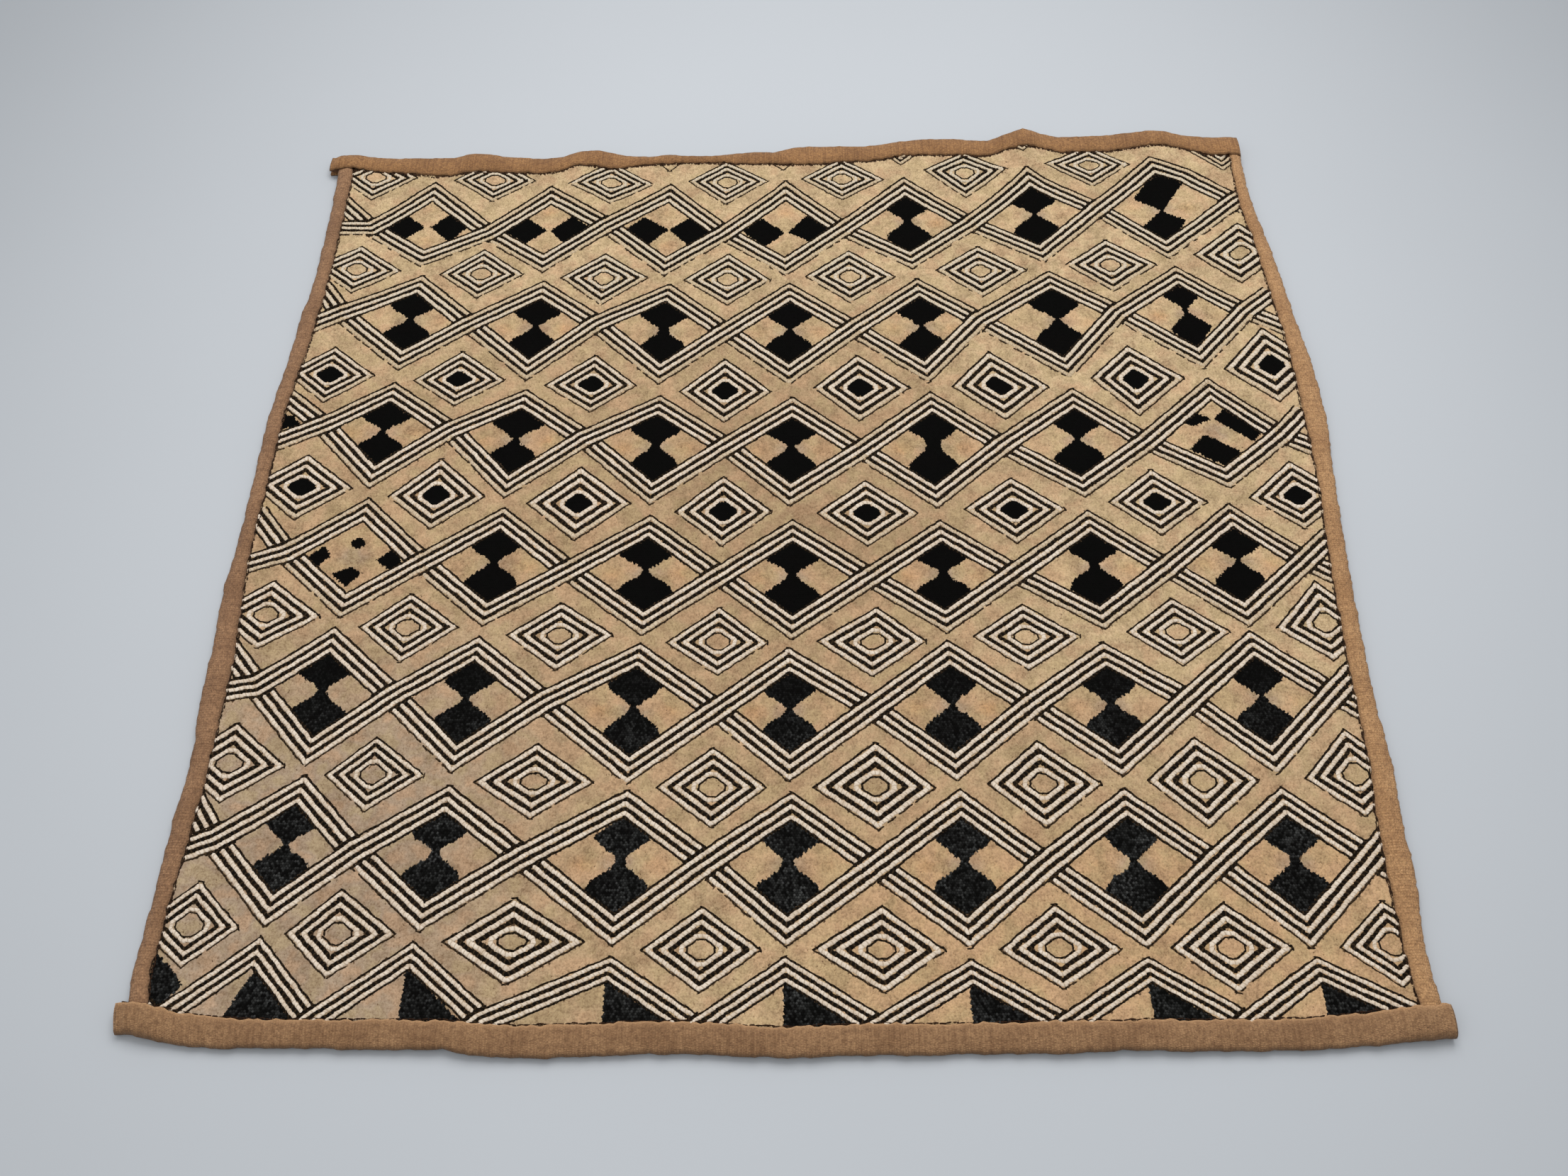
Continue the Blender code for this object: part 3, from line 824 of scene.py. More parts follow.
            self.black_patches.append(self._ragged(tip + ring))

    def _ragged(self, corners: np.ndarray) -> np.ndarray:
        """A patch with its corners a little off, as hand work leaves them."""
        return corners + self.rng.uniform(-self.patch_ragged, self.patch_ragged, corners.shape)


def distance_to(places: np.ndarray, line: np.ndarray) -> np.ndarray:
    """Distance from places to a line of corners.

    Args:
        places: Places, one a row.
        line: Corners of the line.

    Returns:
        The distance of each place.
    """
    best = np.full(len(places), np.inf)
    for start, end in zip(line, line[1:]):
        along = end - start
        share = np.clip(((places - start) @ along) / (along @ along), 0.0, 1.0)
        best = np.minimum(best, np.linalg.norm(places - start - share[:, None] * along, axis=1))
    return best


def inside_polygon(places: np.ndarray, corners: np.ndarray) -> np.ndarray:
    """Tell which places lie inside a polygon.

    Args:
        places: Places, one a row.
        corners: Corners of the polygon in order.

    Returns:
        True where a place is inside.
    """
    result = np.zeros(len(places), bool)
    low, high = corners.min(0), corners.max(0)
    near = np.flatnonzero(((places >= low) & (places <= high)).all(1))
    x, y = places[near, 0], places[near, 1]
    found = np.zeros(len(near), bool)
    for (ax, ay), (bx, by) in zip(corners, np.roll(corners, -1, axis=0)):
        crosses = (ay > y) != (by > y)
        span = by - ay if by != ay else 1e-9
        found ^= crosses & (x < (bx - ax) * (y - ay) / span + ax)
    result[near] = found
    return result


def make_piece(
    name: str,
    points: np.ndarray,
    loops: np.ndarray,
    sizes: np.ndarray,
    bake: np.ndarray,
    values: dict[str, np.ndarray],
    material: bpy.types.Material,
) -> bpy.types.Object:
    """Make one joined mesh and ride it on the cloth.

    Args:
        name: Name of the piece.
        points: Points, in metres.
        loops: Point numbers of all faces, one after another.
        sizes: Corners of each face.
        bake: Place of each point, or of each face corner, in the flat map.
        values: Values that change over the points, by name; rows of three are vectors.
        material: The finish.

    Returns:
        The piece.
    """
    mesh = bpy.data.meshes.new(name)
    mesh.vertices.add(len(points))
    mesh.vertices.foreach_set("co", np.ascontiguousarray(points, np.float32).ravel())
    mesh.loops.add(len(loops))
    mesh.loops.foreach_set("vertex_index", np.ascontiguousarray(loops, np.int32))
    mesh.polygons.add(len(sizes))
    starts = np.concatenate([[0], np.cumsum(sizes)[:-1]])
    mesh.polygons.foreach_set("loop_start", starts.astype(np.int32))
    mesh.polygons.foreach_set("use_smooth", np.ones(len(sizes), bool))
    mesh.update(calc_edges=True)
    for label, data in values.items():
        vector = data.ndim == 2
        layer = mesh.attributes.new(label, "FLOAT_VECTOR" if vector else "FLOAT", "POINT")
        layer.data.foreach_set("vector" if vector else "value", data.astype(np.float32).ravel())
    corners = bake if len(bake) == len(loops) else bake[loops]
    mesh.uv_layers.new(name="OFBake").data.foreach_set("uv", corners.astype(np.float32).ravel())
    mesh.materials.append(material)
    piece = bpy.data.objects.new(name, mesh)
    bpy.context.scene.collection.objects.link(piece)
    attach(piece, "root")
    LOG.info("%s: %d points, %d triangles", name, len(points), int((sizes - 2).sum()))
    return piece


def flat_map(points: np.ndarray) -> np.ndarray:
    """Places of points in a map of the cloth seen from above."""
    return points[:, :2] / MAP_SPAN + 0.5


def make_many(
    name: str,
    flat: np.ndarray,
    z: np.ndarray,
    faces: tuple[tuple[int, int, int], ...],
    values: dict[str, np.ndarray],
    material: bpy.types.Material,
) -> bpy.types.Object:
    """Make one piece of many small shapes alike, such as stitches or tufts.

    Args:
        name: Name of the piece.
        flat: Places of the points of each shape, seen from above.
        z: Height of the points of each shape.
        faces: Triangles of one shape, by the numbers of its points.
        values: Values by name, each with one row a shape or the same for all, and one column a point
            or the same for all points.
        material: The finish.

    Returns:
        The piece.
    """
    count, each = z.shape
    points = np.concatenate([flat, z[..., None]], -1).reshape(-1, 3)
    loops = (np.ravel(faces) + each * np.arange(count)[:, None]).ravel()
    sizes = np.full(len(faces) * count, 3)
    spread = {}
    for label, data in values.items():
        rest = data.shape[2:]
        spread[label] = np.broadcast_to(data, (count, each, *rest)).reshape(-1, *rest)
    return make_piece(name, points, loops, sizes, flat_map(points), spread, material)


class Nodes:
    """A node tree with short ways to add and join nodes."""

    def __init__(self, tree: bpy.types.NodeTree) -> None:
        """Take the tree."""
        self.tree = tree

    def add(self, kind: str, **settings: object) -> bpy.types.Node:
        """Add a node and set its properties."""
        node = self.tree.nodes.new(kind)
        for name, value in settings.items():
            setattr(node, name, value)
        return node

    def put(self, socket: Socket, value: Input) -> None:
        """Join a socket to another, or set its number or colour."""
        if isinstance(value, Socket):
            self.tree.links.new(value, socket)
        elif isinstance(value, tuple) and len(value) == 3 and len(socket.default_value) == 4:
            socket.default_value = (*value, 1.0)
        else:
            socket.default_value = value

    def math(self, operation: str, first: Input, second: Input = 0.0, third: Input = 0.0) -> Socket:
        """Add a Math node and give back its result."""
        node = self.add("ShaderNodeMath", operation=operation)
        for socket, value in zip(node.inputs, (first, second, third)):
            self.put(socket, value)
        return node.outputs[0]

    def between(
        self, value: Input, low: float, high: float, to_low: float = 0.0, to_high: float = 1.0
    ) -> Socket:
        """Map a value smoothly from one range to another."""
        node = self.add("ShaderNodeMapRange", interpolation_type="SMOOTHSTEP")
        labels = ("Value", "From Min", "From Max", "To Min", "To Max")
        for label, number in zip(labels, (value, low, high, to_low, to_high)):
            self.put(node.inputs[label], number)
        return node.outputs["Result"]

    def mix(self, factor: Input, first: Input, second: Input) -> Socket:
        """Mix two colours."""
        node = self.add("ShaderNodeMix", data_type="RGBA")
        self.put(node.inputs[0], factor)
        self.put(node.inputs[6], first)
        self.put(node.inputs[7], second)
        return node.outputs[2]

    def value_of(self, label: str) -> Socket:
        """Read a value that changes over the mesh."""
        return self.add("ShaderNodeAttribute", attribute_name=label).outputs["Fac"]

    def vector_of(self, label: str) -> Socket:
        """Read a vector that changes over the mesh."""
        return self.add("ShaderNodeAttribute", attribute_name=label).outputs["Vector"]

    def place(self) -> Socket:
        """Read the place on the object."""
        return self.add("ShaderNodeTexCoord").outputs["Object"]

    def stretched(self, vector: Socket, scale: Triple) -> Socket:
        """Scale a vector by three numbers."""
        node = self.add("ShaderNodeVectorMath", operation="MULTIPLY")
        self.put(node.inputs[0], vector)
        node.inputs[1].default_value = scale
        return node.outputs[0]

    def noise(self, vector: Socket, scale: Input, detail: float = 2.0, roughness: float = 0.5) -> Socket:
        """Add a noise and give back its value."""
        node = self.add("ShaderNodeTexNoise")
        self.put(node.inputs["Vector"], vector)
        self.put(node.inputs["Scale"], scale)
        node.inputs["Detail"].default_value = detail
        node.inputs["Roughness"].default_value = roughness
        return node.outputs["Fac"]


class Effects:
    """Shader node groups that several materials share, each built once."""

    def __init__(self) -> None:
        """Build the groups."""
        self.fibre = self._fibre()
        self.weave = self._weave()
        self.age = self._age()

    @staticmethod
    def _group(
        name: str, numbers: tuple[str, ...], results: tuple[str, ...]
    ) -> tuple[bpy.types.NodeTree, Nodes, bpy.types.Node, bpy.types.Node]:
        """Start a node group that takes a vector and some numbers.

        Args:
            name: Name of the group.
            numbers: Names of the numbers that it takes.
            results: Names of the numbers that it gives.

        Returns:
            The group, its helper, and its input and output nodes.
        """
        group = bpy.data.node_groups.new(name, "ShaderNodeTree")
        group.interface.new_socket("Vector", in_out="INPUT", socket_type="NodeSocketVector")
        for label in numbers:
            group.interface.new_socket(label, in_out="INPUT", socket_type="NodeSocketFloat")
        for label in results:
            group.interface.new_socket(label, in_out="OUTPUT", socket_type="NodeSocketFloat")
        nodes = Nodes(group)
        return group, nodes, nodes.add("NodeGroupInput"), nodes.add("NodeGroupOutput")

    def _fibre(self) -> bpy.types.NodeTree:
        """Fine strands of split raffia leaf, drawn out along the first axis of the vector."""
        group, nodes, given, out = self._group("Raffia fibre", ("Fineness",), ("Strands", "Height"))
        drawn = nodes.stretched(given.outputs["Vector"], (0.12, 1.0, 1.0))
        coarse = nodes.noise(drawn, given.outputs["Fineness"], 3.0, 0.62)
        strands = nodes.between(coarse, 0.3, 0.72)
        nodes.put(out.inputs["Strands"], strands)
        nodes.put(out.inputs["Height"], coarse)
        return group

    def _weave(self) -> bpy.types.NodeTree:
        """Plain weave: warp and weft strands that pass over each other by turns."""
        pitches = ("Warp pitch", "Weft pitch")
        group, nodes, given, out = self._group("Plain weave", pitches, ("Height", "Gaps"))
        apart = nodes.add("ShaderNodeSeparateXYZ")
        nodes.put(apart.inputs[0], given.outputs["Vector"])
        uneven = nodes.noise(given.outputs["Vector"], 160.0, 2.0)
        shift = nodes.math("MULTIPLY", nodes.math("SUBTRACT", uneven, 0.5), 0.0016)
        waves = []
        for axis, pitch in enumerate(pitches):
            shifted = nodes.math("ADD", apart.outputs[axis], shift)
            strands = nodes.math("DIVIDE", shifted, given.outputs[pitch])
            waves.append(nodes.math("SINE", nodes.math("MULTIPLY", strands, math.pi)))
        over = nodes.math("MULTIPLY", *waves)
        ridge = nodes.math("MULTIPLY", *(nodes.math("ABSOLUTE", wave) for wave in waves))
        nodes.put(out.inputs["Height"], nodes.math("ADD", nodes.math("MULTIPLY", over, 0.25), ridge))
        nodes.put(out.inputs["Gaps"], nodes.between(ridge, 0.0, 0.28, 1.0, 0.0))
        return group

    def _age(self) -> bpy.types.NodeTree:
        """Soft blotches, specks and slow drifts of tone, from age and handling."""
        group, nodes, given, out = self._group("Age", ("Broad", "Small"), ("Blotches", "Specks", "Drift"))
        where, wide = given.outputs["Vector"], given.outputs["Broad"]
        broad = nodes.noise(where, wide, 3.0, 0.55)
        small = nodes.noise(where, given.outputs["Small"], 3.0, 0.6)
        drift = nodes.noise(where, nodes.math("MULTIPLY", wide, 4.5), 2.0, 0.5)
        nodes.put(out.inputs["Blotches"], nodes.between(broad, 0.36, 0.66))
        nodes.put(out.inputs["Specks"], nodes.between(small, 0.4, 0.7))
        nodes.put(out.inputs["Drift"], nodes.between(drift, 0.3, 0.7))
        return group


class Finish:
    """Base of the finishes: starts a material whose Principled shader carries plain numbers."""

    @staticmethod
    def start(
        name: str, roughness: float, sheen: float = 0.0, shine: float = 0.25
    ) -> tuple[bpy.types.Material, Nodes, bpy.types.Node]:
        """Start a material.

        Args:
            name: Name of the material.
            roughness: How matt it is.
            sheen: Weight of the soft sheen of cut fibres.
            shine: Level of the plain reflection.

        Returns:
            The material, its node helper and its Principled shader.
        """
        material = bpy.data.materials.new(name)
        material.use_nodes = True
        nodes = Nodes(material.node_tree)
        shader = material.node_tree.nodes["Principled BSDF"]
        shader.inputs["Roughness"].default_value = roughness
        shader.inputs["Specular IOR Level"].default_value = shine
        shader.inputs["Sheen Weight"].default_value = sheen
        return material, nodes, shader

    @staticmethod
    def use(nodes: Nodes, group: bpy.types.NodeTree, **values: object) -> bpy.types.Node:
        """Place a shared group with its own values; an underscore in a name stands for a space."""
        node = nodes.add("ShaderNodeGroup", node_tree=group)
        for label, value in values.items():
            nodes.put(node.inputs[label.replace("_", " ")], value)
        return node

    @staticmethod
    def bump(nodes: Nodes, shader: bpy.types.Node, height: Socket, distance: float, strength: float) -> None:
        """Give the shader a bump from a height."""
        node = nodes.add("ShaderNodeBump")
        node.inputs["Distance"].default_value = distance
        node.inputs["Strength"].default_value = strength
        nodes.put(node.inputs["Height"], height)
        nodes.put(shader.inputs["Normal"], node.outputs[0])


@dataclass(frozen=True)
class StitchFinish(Finish):
    """A strand of raffia laid in stem stitch."""

    name: str
    light: Colour
    dark: Colour
    old: Colour
    # Colour in the slits between the beads: painted shade on the cream threads and the seam, the brown
    # between the beads on the black and thin dark threads
    slit: Colour
    # How far the painted shade at a stitch's ends darkens it
    ends: float
    roughness: float = 0.62
    shine: float = 0.25

    def make(self, effects: Effects) -> bpy.types.Material:
        """Build the material: strands along the stitch, with painted shade where it dips into the cloth."""
        material, nodes, shader = self.start(self.name, self.roughness, shine=self.shine)
        run = nodes.vector_of("fibre")
        fibre = self.use(nodes, effects.fibre, Vector=run, Fineness=5200.0)
        where = nodes.place()
        age = self.use(nodes, effects.age, Vector=where, Broad=14.0, Small=210.0)
        strands = nodes.math("MULTIPLY", fibre.outputs["Strands"], 0.3)
        tint = nodes.math("MULTIPLY_ADD", nodes.value_of("tint"), 0.5, strands)
        tint = nodes.math("ADD", tint, nodes.math("MULTIPLY", age.outputs["Specks"], 0.3))
        colour = nodes.mix(tint, self.light, self.dark)
        patchy = nodes.between(age.outputs["Blotches"], 0.0, 1.0, 0.6, 1.0)
        colour = nodes.mix(nodes.math("MULTIPLY", nodes.value_of("worn"), patchy), colour, self.old)
        # Painted shade: each stitch darkens towards its ends, where it dips into the cloth
        end_shade = nodes.between(nodes.value_of("rim"), 0.35, 1.0, 0.0, self.ends)
        colour = nodes.mix(end_shade, colour, tuple(c * 0.42 for c in self.dark))
        # The slits between the beads of the twisted strand take the slit colour, painted shade on the light
        # threads
        bead = nodes.math("SINE", nodes.math("MULTIPLY", nodes.value_of("twist"), math.pi))
        bead = nodes.math("MULTIPLY", bead, bead)
        colour = nodes.mix(nodes.between(bead, 0.0, 0.5, 0.6, 0.0), colour, self.slit)
        nodes.put(shader.inputs["Base Color"], colour)
        height = nodes.math("MULTIPLY_ADD", bead, 0.8, fibre.outputs["Height"])
        self.bump(nodes, shader, height, 0.00025, 0.5)
        return material


@dataclass(frozen=True)
class PileFinish(Finish):
    """Short cut pile: light tips, with painted shade darkening their feet between the tufts."""

    name: str
    tip: Colour
    # Colour of the random dark grain, and of the painted shade at the tufts' feet
    root: Colour
    pale: Colour
    warm: Colour
    dull: Colour
    grey: Colour
    rosy: Colour
    olive: Colour
    depth: float = 0.76
    roughness: float = 0.85
    sheen: float = 0.1
    shine: float = 0.2

    def make(self, effects: Effects) -> bpy.types.Material:
        """Build the material from the tufts' own values and the shared effects."""
        material, nodes, shader = self.start(self.name, self.roughness, self.sheen, self.shine)
        where = nodes.place()
        fibre = self.use(nodes, effects.fibre, Vector=where, Fineness=2600.0)
        age = self.use(nodes, effects.age, Vector=where, Broad=19.0, Small=1000.0)
        patchy = nodes.between(age.outputs["Blotches"], 0.0, 1.0, 0.45, 1.0)
        drift = age.outputs["Drift"]
        colour = nodes.mix(nodes.value_of("pale"), self.tip, self.pale)
        colour = nodes.mix(nodes.value_of("warm"), colour, self.warm)
        colour = nodes.mix(nodes.math("MULTIPLY", nodes.value_of("dull"), patchy), colour, self.dull)
        colour = nodes.mix(nodes.value_of("grey"), colour, self.grey)
        colour = nodes.mix(nodes.between(drift, 0.45, 1.0, 0.0, 0.5), colour, self.rosy)
        colour = nodes.mix(nodes.between(drift, 0.55, 0.0, 0.0, 0.45), colour, self.olive)
        cloud = nodes.noise(nodes.stretched(where, (1.0, 0.8, 1.0)), 75.0, 4.0, 0.6)
        smudge = nodes.between(cloud, 0.36, 0.72, 0.0, 0.36)
        mottled = nodes.between(nodes.noise(where, 360.0, 3.0), 0.35, 0.7, 0.0, 0.26)
        tint = nodes.math("MULTIPLY", nodes.value_of("tint"), 0.16)
        grain = nodes.math("MULTIPLY_ADD", age.outputs["Specks"], 0.44, tint)
        shade = nodes.math("ADD", nodes.math("ADD", grain, mottled), smudge)
        colour = nodes.mix(nodes.math("MULTIPLY", shade, self.depth), colour, self.root)
        # Painted shade: the foot of each tuft darkens towards the root colour, where shade falls between the
        # tufts
        deep = nodes.between(nodes.value_of("tip"), 0.0, 0.5, 0.3, 0.0)
        colour = nodes.mix(deep, colour, self.root)
        colour = nodes.mix(nodes.math("MULTIPLY", fibre.outputs["Strands"], 0.1), colour, self.root)
        nodes.put(shader.inputs["Base Color"], colour)
        self.bump(nodes, shader, fibre.outputs["Height"], 0.0003, 0.6)
        return material


@dataclass(frozen=True)
class ClothFinish(Finish):
    """Plain raffia cloth, seen between the stitches or as a strip."""

    name: str
    light: Colour
    dark: Colour
    # Colour of the random dark grain, and painted shade in the open gaps between the woven strands
    gap: Colour
    stain: Colour
    warp: float = 1.2 * MM
    weft: float = 0.9 * MM
    relief: float = 0.00035
    speckle: float = 0.55
    open_weave: float = 0.35
    roughness: float = 0.7

    def make(self, effects: Effects) -> bpy.types.Material:
        """Build the material: woven strands, streaks of single leaves, specks and stains, with painted shade
        in the gaps of the weave.
        """
        material, nodes, shader = self.start(self.name, self.roughness, sheen=0.06)
        cloth = nodes.vector_of("cloth")
        weave = self.use(nodes, effects.weave, Vector=cloth, Warp_pitch=self.warp, Weft_pitch=self.weft)
        fibre = self.use(nodes, effects.fibre, Vector=cloth, Fineness=2400.0)
        age = self.use(nodes, effects.age, Vector=cloth, Broad=38.0, Small=420.0)
        streak = nodes.between(nodes.noise(nodes.stretched(cloth, (1.0, 0.05, 1.0)), 900.0, 3.0), 0.38, 0.68)
        tone = nodes.math("MULTIPLY_ADD", age.outputs["Blotches"], 0.4, nodes.math("MULTIPLY", streak, 0.35))
        tone = nodes.math("ADD", tone, nodes.math("MULTIPLY", fibre.outputs["Strands"], 0.25))
        colour = nodes.mix(tone, self.light, self.dark)
        colour = nodes.mix(nodes.math("MULTIPLY", age.outputs["Specks"], self.speckle), colour, self.stain)
        # Random dark grain, and painted shade where the weave leaves gaps between its strands
        grain = nodes.between(nodes.noise(cloth, 1000.0, 3.0, 0.6), 0.42, 0.72, 0.0, 0.6)
        open_weave = nodes.math("MULTIPLY", weave.outputs["Gaps"], self.open_weave)
        colour = nodes.mix(nodes.math("MAXIMUM", grain, open_weave), colour, self.gap)
        shadow = tuple(c * 0.35 for c in self.dark)
        rubbed = tuple(min(1.0, c * 1.3) for c in self.light)
        colour = nodes.mix(nodes.math("MULTIPLY", nodes.value_of("shade"), 0.75), colour, shadow)
        colour = nodes.mix(nodes.math("MULTIPLY", nodes.value_of("worn"), 0.8), colour, rubbed)
        nodes.put(shader.inputs["Base Color"], colour)
        relief = nodes.math("MULTIPLY", fibre.outputs["Height"], 0.6)
        height = nodes.math("ADD", weave.outputs["Height"], relief)
        self.bump(nodes, shader, height, self.relief, 0.8)
        return material


@dataclass(frozen=True)
class FloorFinish(Finish):
    """The pale, even surface that the cloth lies on, with painted shade that darkens it away from the middle.
    """

    name: str = "pale surface"
    colour: Colour = linear(193, 196, 200)
    # Painted shade: the colour that the floor darkens to away from the middle
    edge: Colour = linear(158, 161, 165)

    def make(self) -> bpy.types.Material:
        """Build the material with a faint, broad change of tone: painted shade that darkens it away from the
        middle, stirred by a faint cloud.
        """
        material, nodes, shader = self.start(self.name, 0.7)
        where = nodes.place()
        apart = nodes.add("ShaderNodeVectorMath", operation="LENGTH")
        nodes.put(apart.inputs[0], nodes.stretched(where, (2.0, 1.6, 1.0)))
        cloud = nodes.math("MULTIPLY_ADD", nodes.noise(where, 3.0, 2.0), 0.15, -0.075)
        outward = nodes.math("ADD", nodes.between(apart.outputs["Value"], 0.5, 1.6), cloud)
        nodes.put(shader.inputs["Base Color"], nodes.mix(outward, self.colour, self.edge))
        return material


@dataclass
class GroundCloth:
    """The woven ground, one thin sheet on the bed of the CAD panel."""

    bed: Bed
    thickness: float = 1.1 * MM
    margin_thickness: float = 1.0 * MM
    pitch: float = 5.4 * MM
    tuck: float = 3.5 * MM
    off_bed: float = 0.02 * MM
    turns: int = 6
    map_share: Place = (0.49, 0.98)
    map_rim: float = 0.012
    # The ground weave's own brown, made darker still as painted shade, since it shows only in the gaps
    # between the tufts and the stitches
    finish: ClothFinish = ClothFinish(
        "ground weave", *tones((122, 94, 64), (98, 72, 47), (58, 40, 25), (86, 62, 40))
    )

    def outline(self, strips: dict[Side, StripLine]) -> tuple[np.ndarray, np.ndarray]:
        """Places of a grid whose rim lies inside the folds of the four strips.

        Args:
            strips: Lines of the strips.

        Returns:
            The grid's places across and away.
        """
        low, high = self.bed.skin.points.min(0), self.bed.skin.points.max(0)
        columns = int((high[0] - low[0]) / self.pitch)
        rows = int((high[1] - low[1]) / self.pitch)
        u, v = np.meshgrid(np.linspace(0, 1, columns), np.linspace(0, 1, rows))
        x, y = low[0] + u * (high[0] - low[0]), low[1] + v * (high[1] - low[1])
        for _ in range(self.turns):
            left = strips[Side.LEFT].outer_at(y) + self.tuck
            right = strips[Side.RIGHT].outer_at(y) - self.tuck
            x = left + u * (right - left)
            near = strips[Side.NEAR].outer_at(x) + self.tuck
            far = strips[Side.FAR].outer_at(x) - self.tuck
            y = near + v * (far - near)
        return x, y

    def build(self, effects: Effects, worked: Field) -> bpy.types.Object:
        """Build the sheet, closed all round.

        Args:
            effects: The shared node groups.
            worked: The field inside the strips.

        Returns:
            The piece.
        """
        x, y = self.outline(worked.strips)
        rows, columns = x.shape
        low = self.bed.height(x, y) + self.off_bed
        thick = np.where(worked.inside(x, y, 0.0), self.thickness, self.margin_thickness)
        top = np.stack([x, y, low + thick], -1).reshape(-1, 3)
        under = np.stack([x, y, low], -1).reshape(-1, 3)
        points = np.vstack([top, under])
        count = rows * columns
        i, j = np.meshgrid(np.arange(rows - 1), np.arange(columns - 1), indexing="ij")
        a = (i * columns + j).ravel()
        upper = np.stack([a, a + 1, a + columns + 1, a + columns], 1)
        lower = np.stack([a, a + columns, a + columns + 1, a + 1], 1) + count
        ring = np.concatenate([
            np.arange(columns - 1), np.arange(rows - 1) * columns + columns - 1,
            (rows - 1) * columns + np.arange(columns - 1, 0, -1), np.arange(rows - 1, 0, -1) * columns,
        ])
        after = np.roll(ring, -1)
        rim = np.stack([ring, ring + count, after + count, after], 1)
        faces = np.vstack([upper, lower, rim])
        bake = flat_map(points) * self.map_share
        bake[count:, 0] += 0.5
        corners = bake[faces.ravel()]
        start = 4 * (len(upper) + len(lower))
        corners[start::4, 1] += self.map_rim
        corners[start + 3::4, 1] += self.map_rim
        plain = np.zeros(len(points))
        values = {"cloth": points, "worn": plain, "shade": plain}
        loops, sizes = faces.ravel(), np.full(len(faces), 4)
        finish = self.finish.make(effects)
        piece = make_piece("ground_cloth", points, loops, sizes, corners, values, finish)
        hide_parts("panel")
        return piece


# The ten points of a stitch, eight round its rim and two on its crest, as shares of its half length,
# half width and height, then the painted shade that each takes where the stitch dips into the cloth, and the
# triangles between them
GRAIN_ALONG = np.array([-1.0, -0.62, 0.0, 0.62, 1.0, 0.62, 0.0, -0.62, -0.42, 0.42])
GRAIN_ACROSS = np.array([0.0, -0.86, -1.0, -0.86, 0.0, 0.86, 1.0, 0.86, 0.0, 0.0])
GRAIN_UP = np.array([-0.1, 0.15, 0.3, 0.15, -0.1, 0.15, 0.3, 0.15, 1.0, 1.0])
GRAIN_END_SHADE = np.array([1.0, 0.8, 0.6, 0.8, 1.0, 0.8, 0.6, 0.8, 0.0, 0.0])
GRAIN_FACES = (
    (0, 1, 8), (1, 2, 8), (2, 9, 8), (2, 3, 9), (3, 4, 9),
    (4, 5, 9), (5, 6, 9), (6, 8, 9), (6, 7, 8), (7, 0, 8),
)


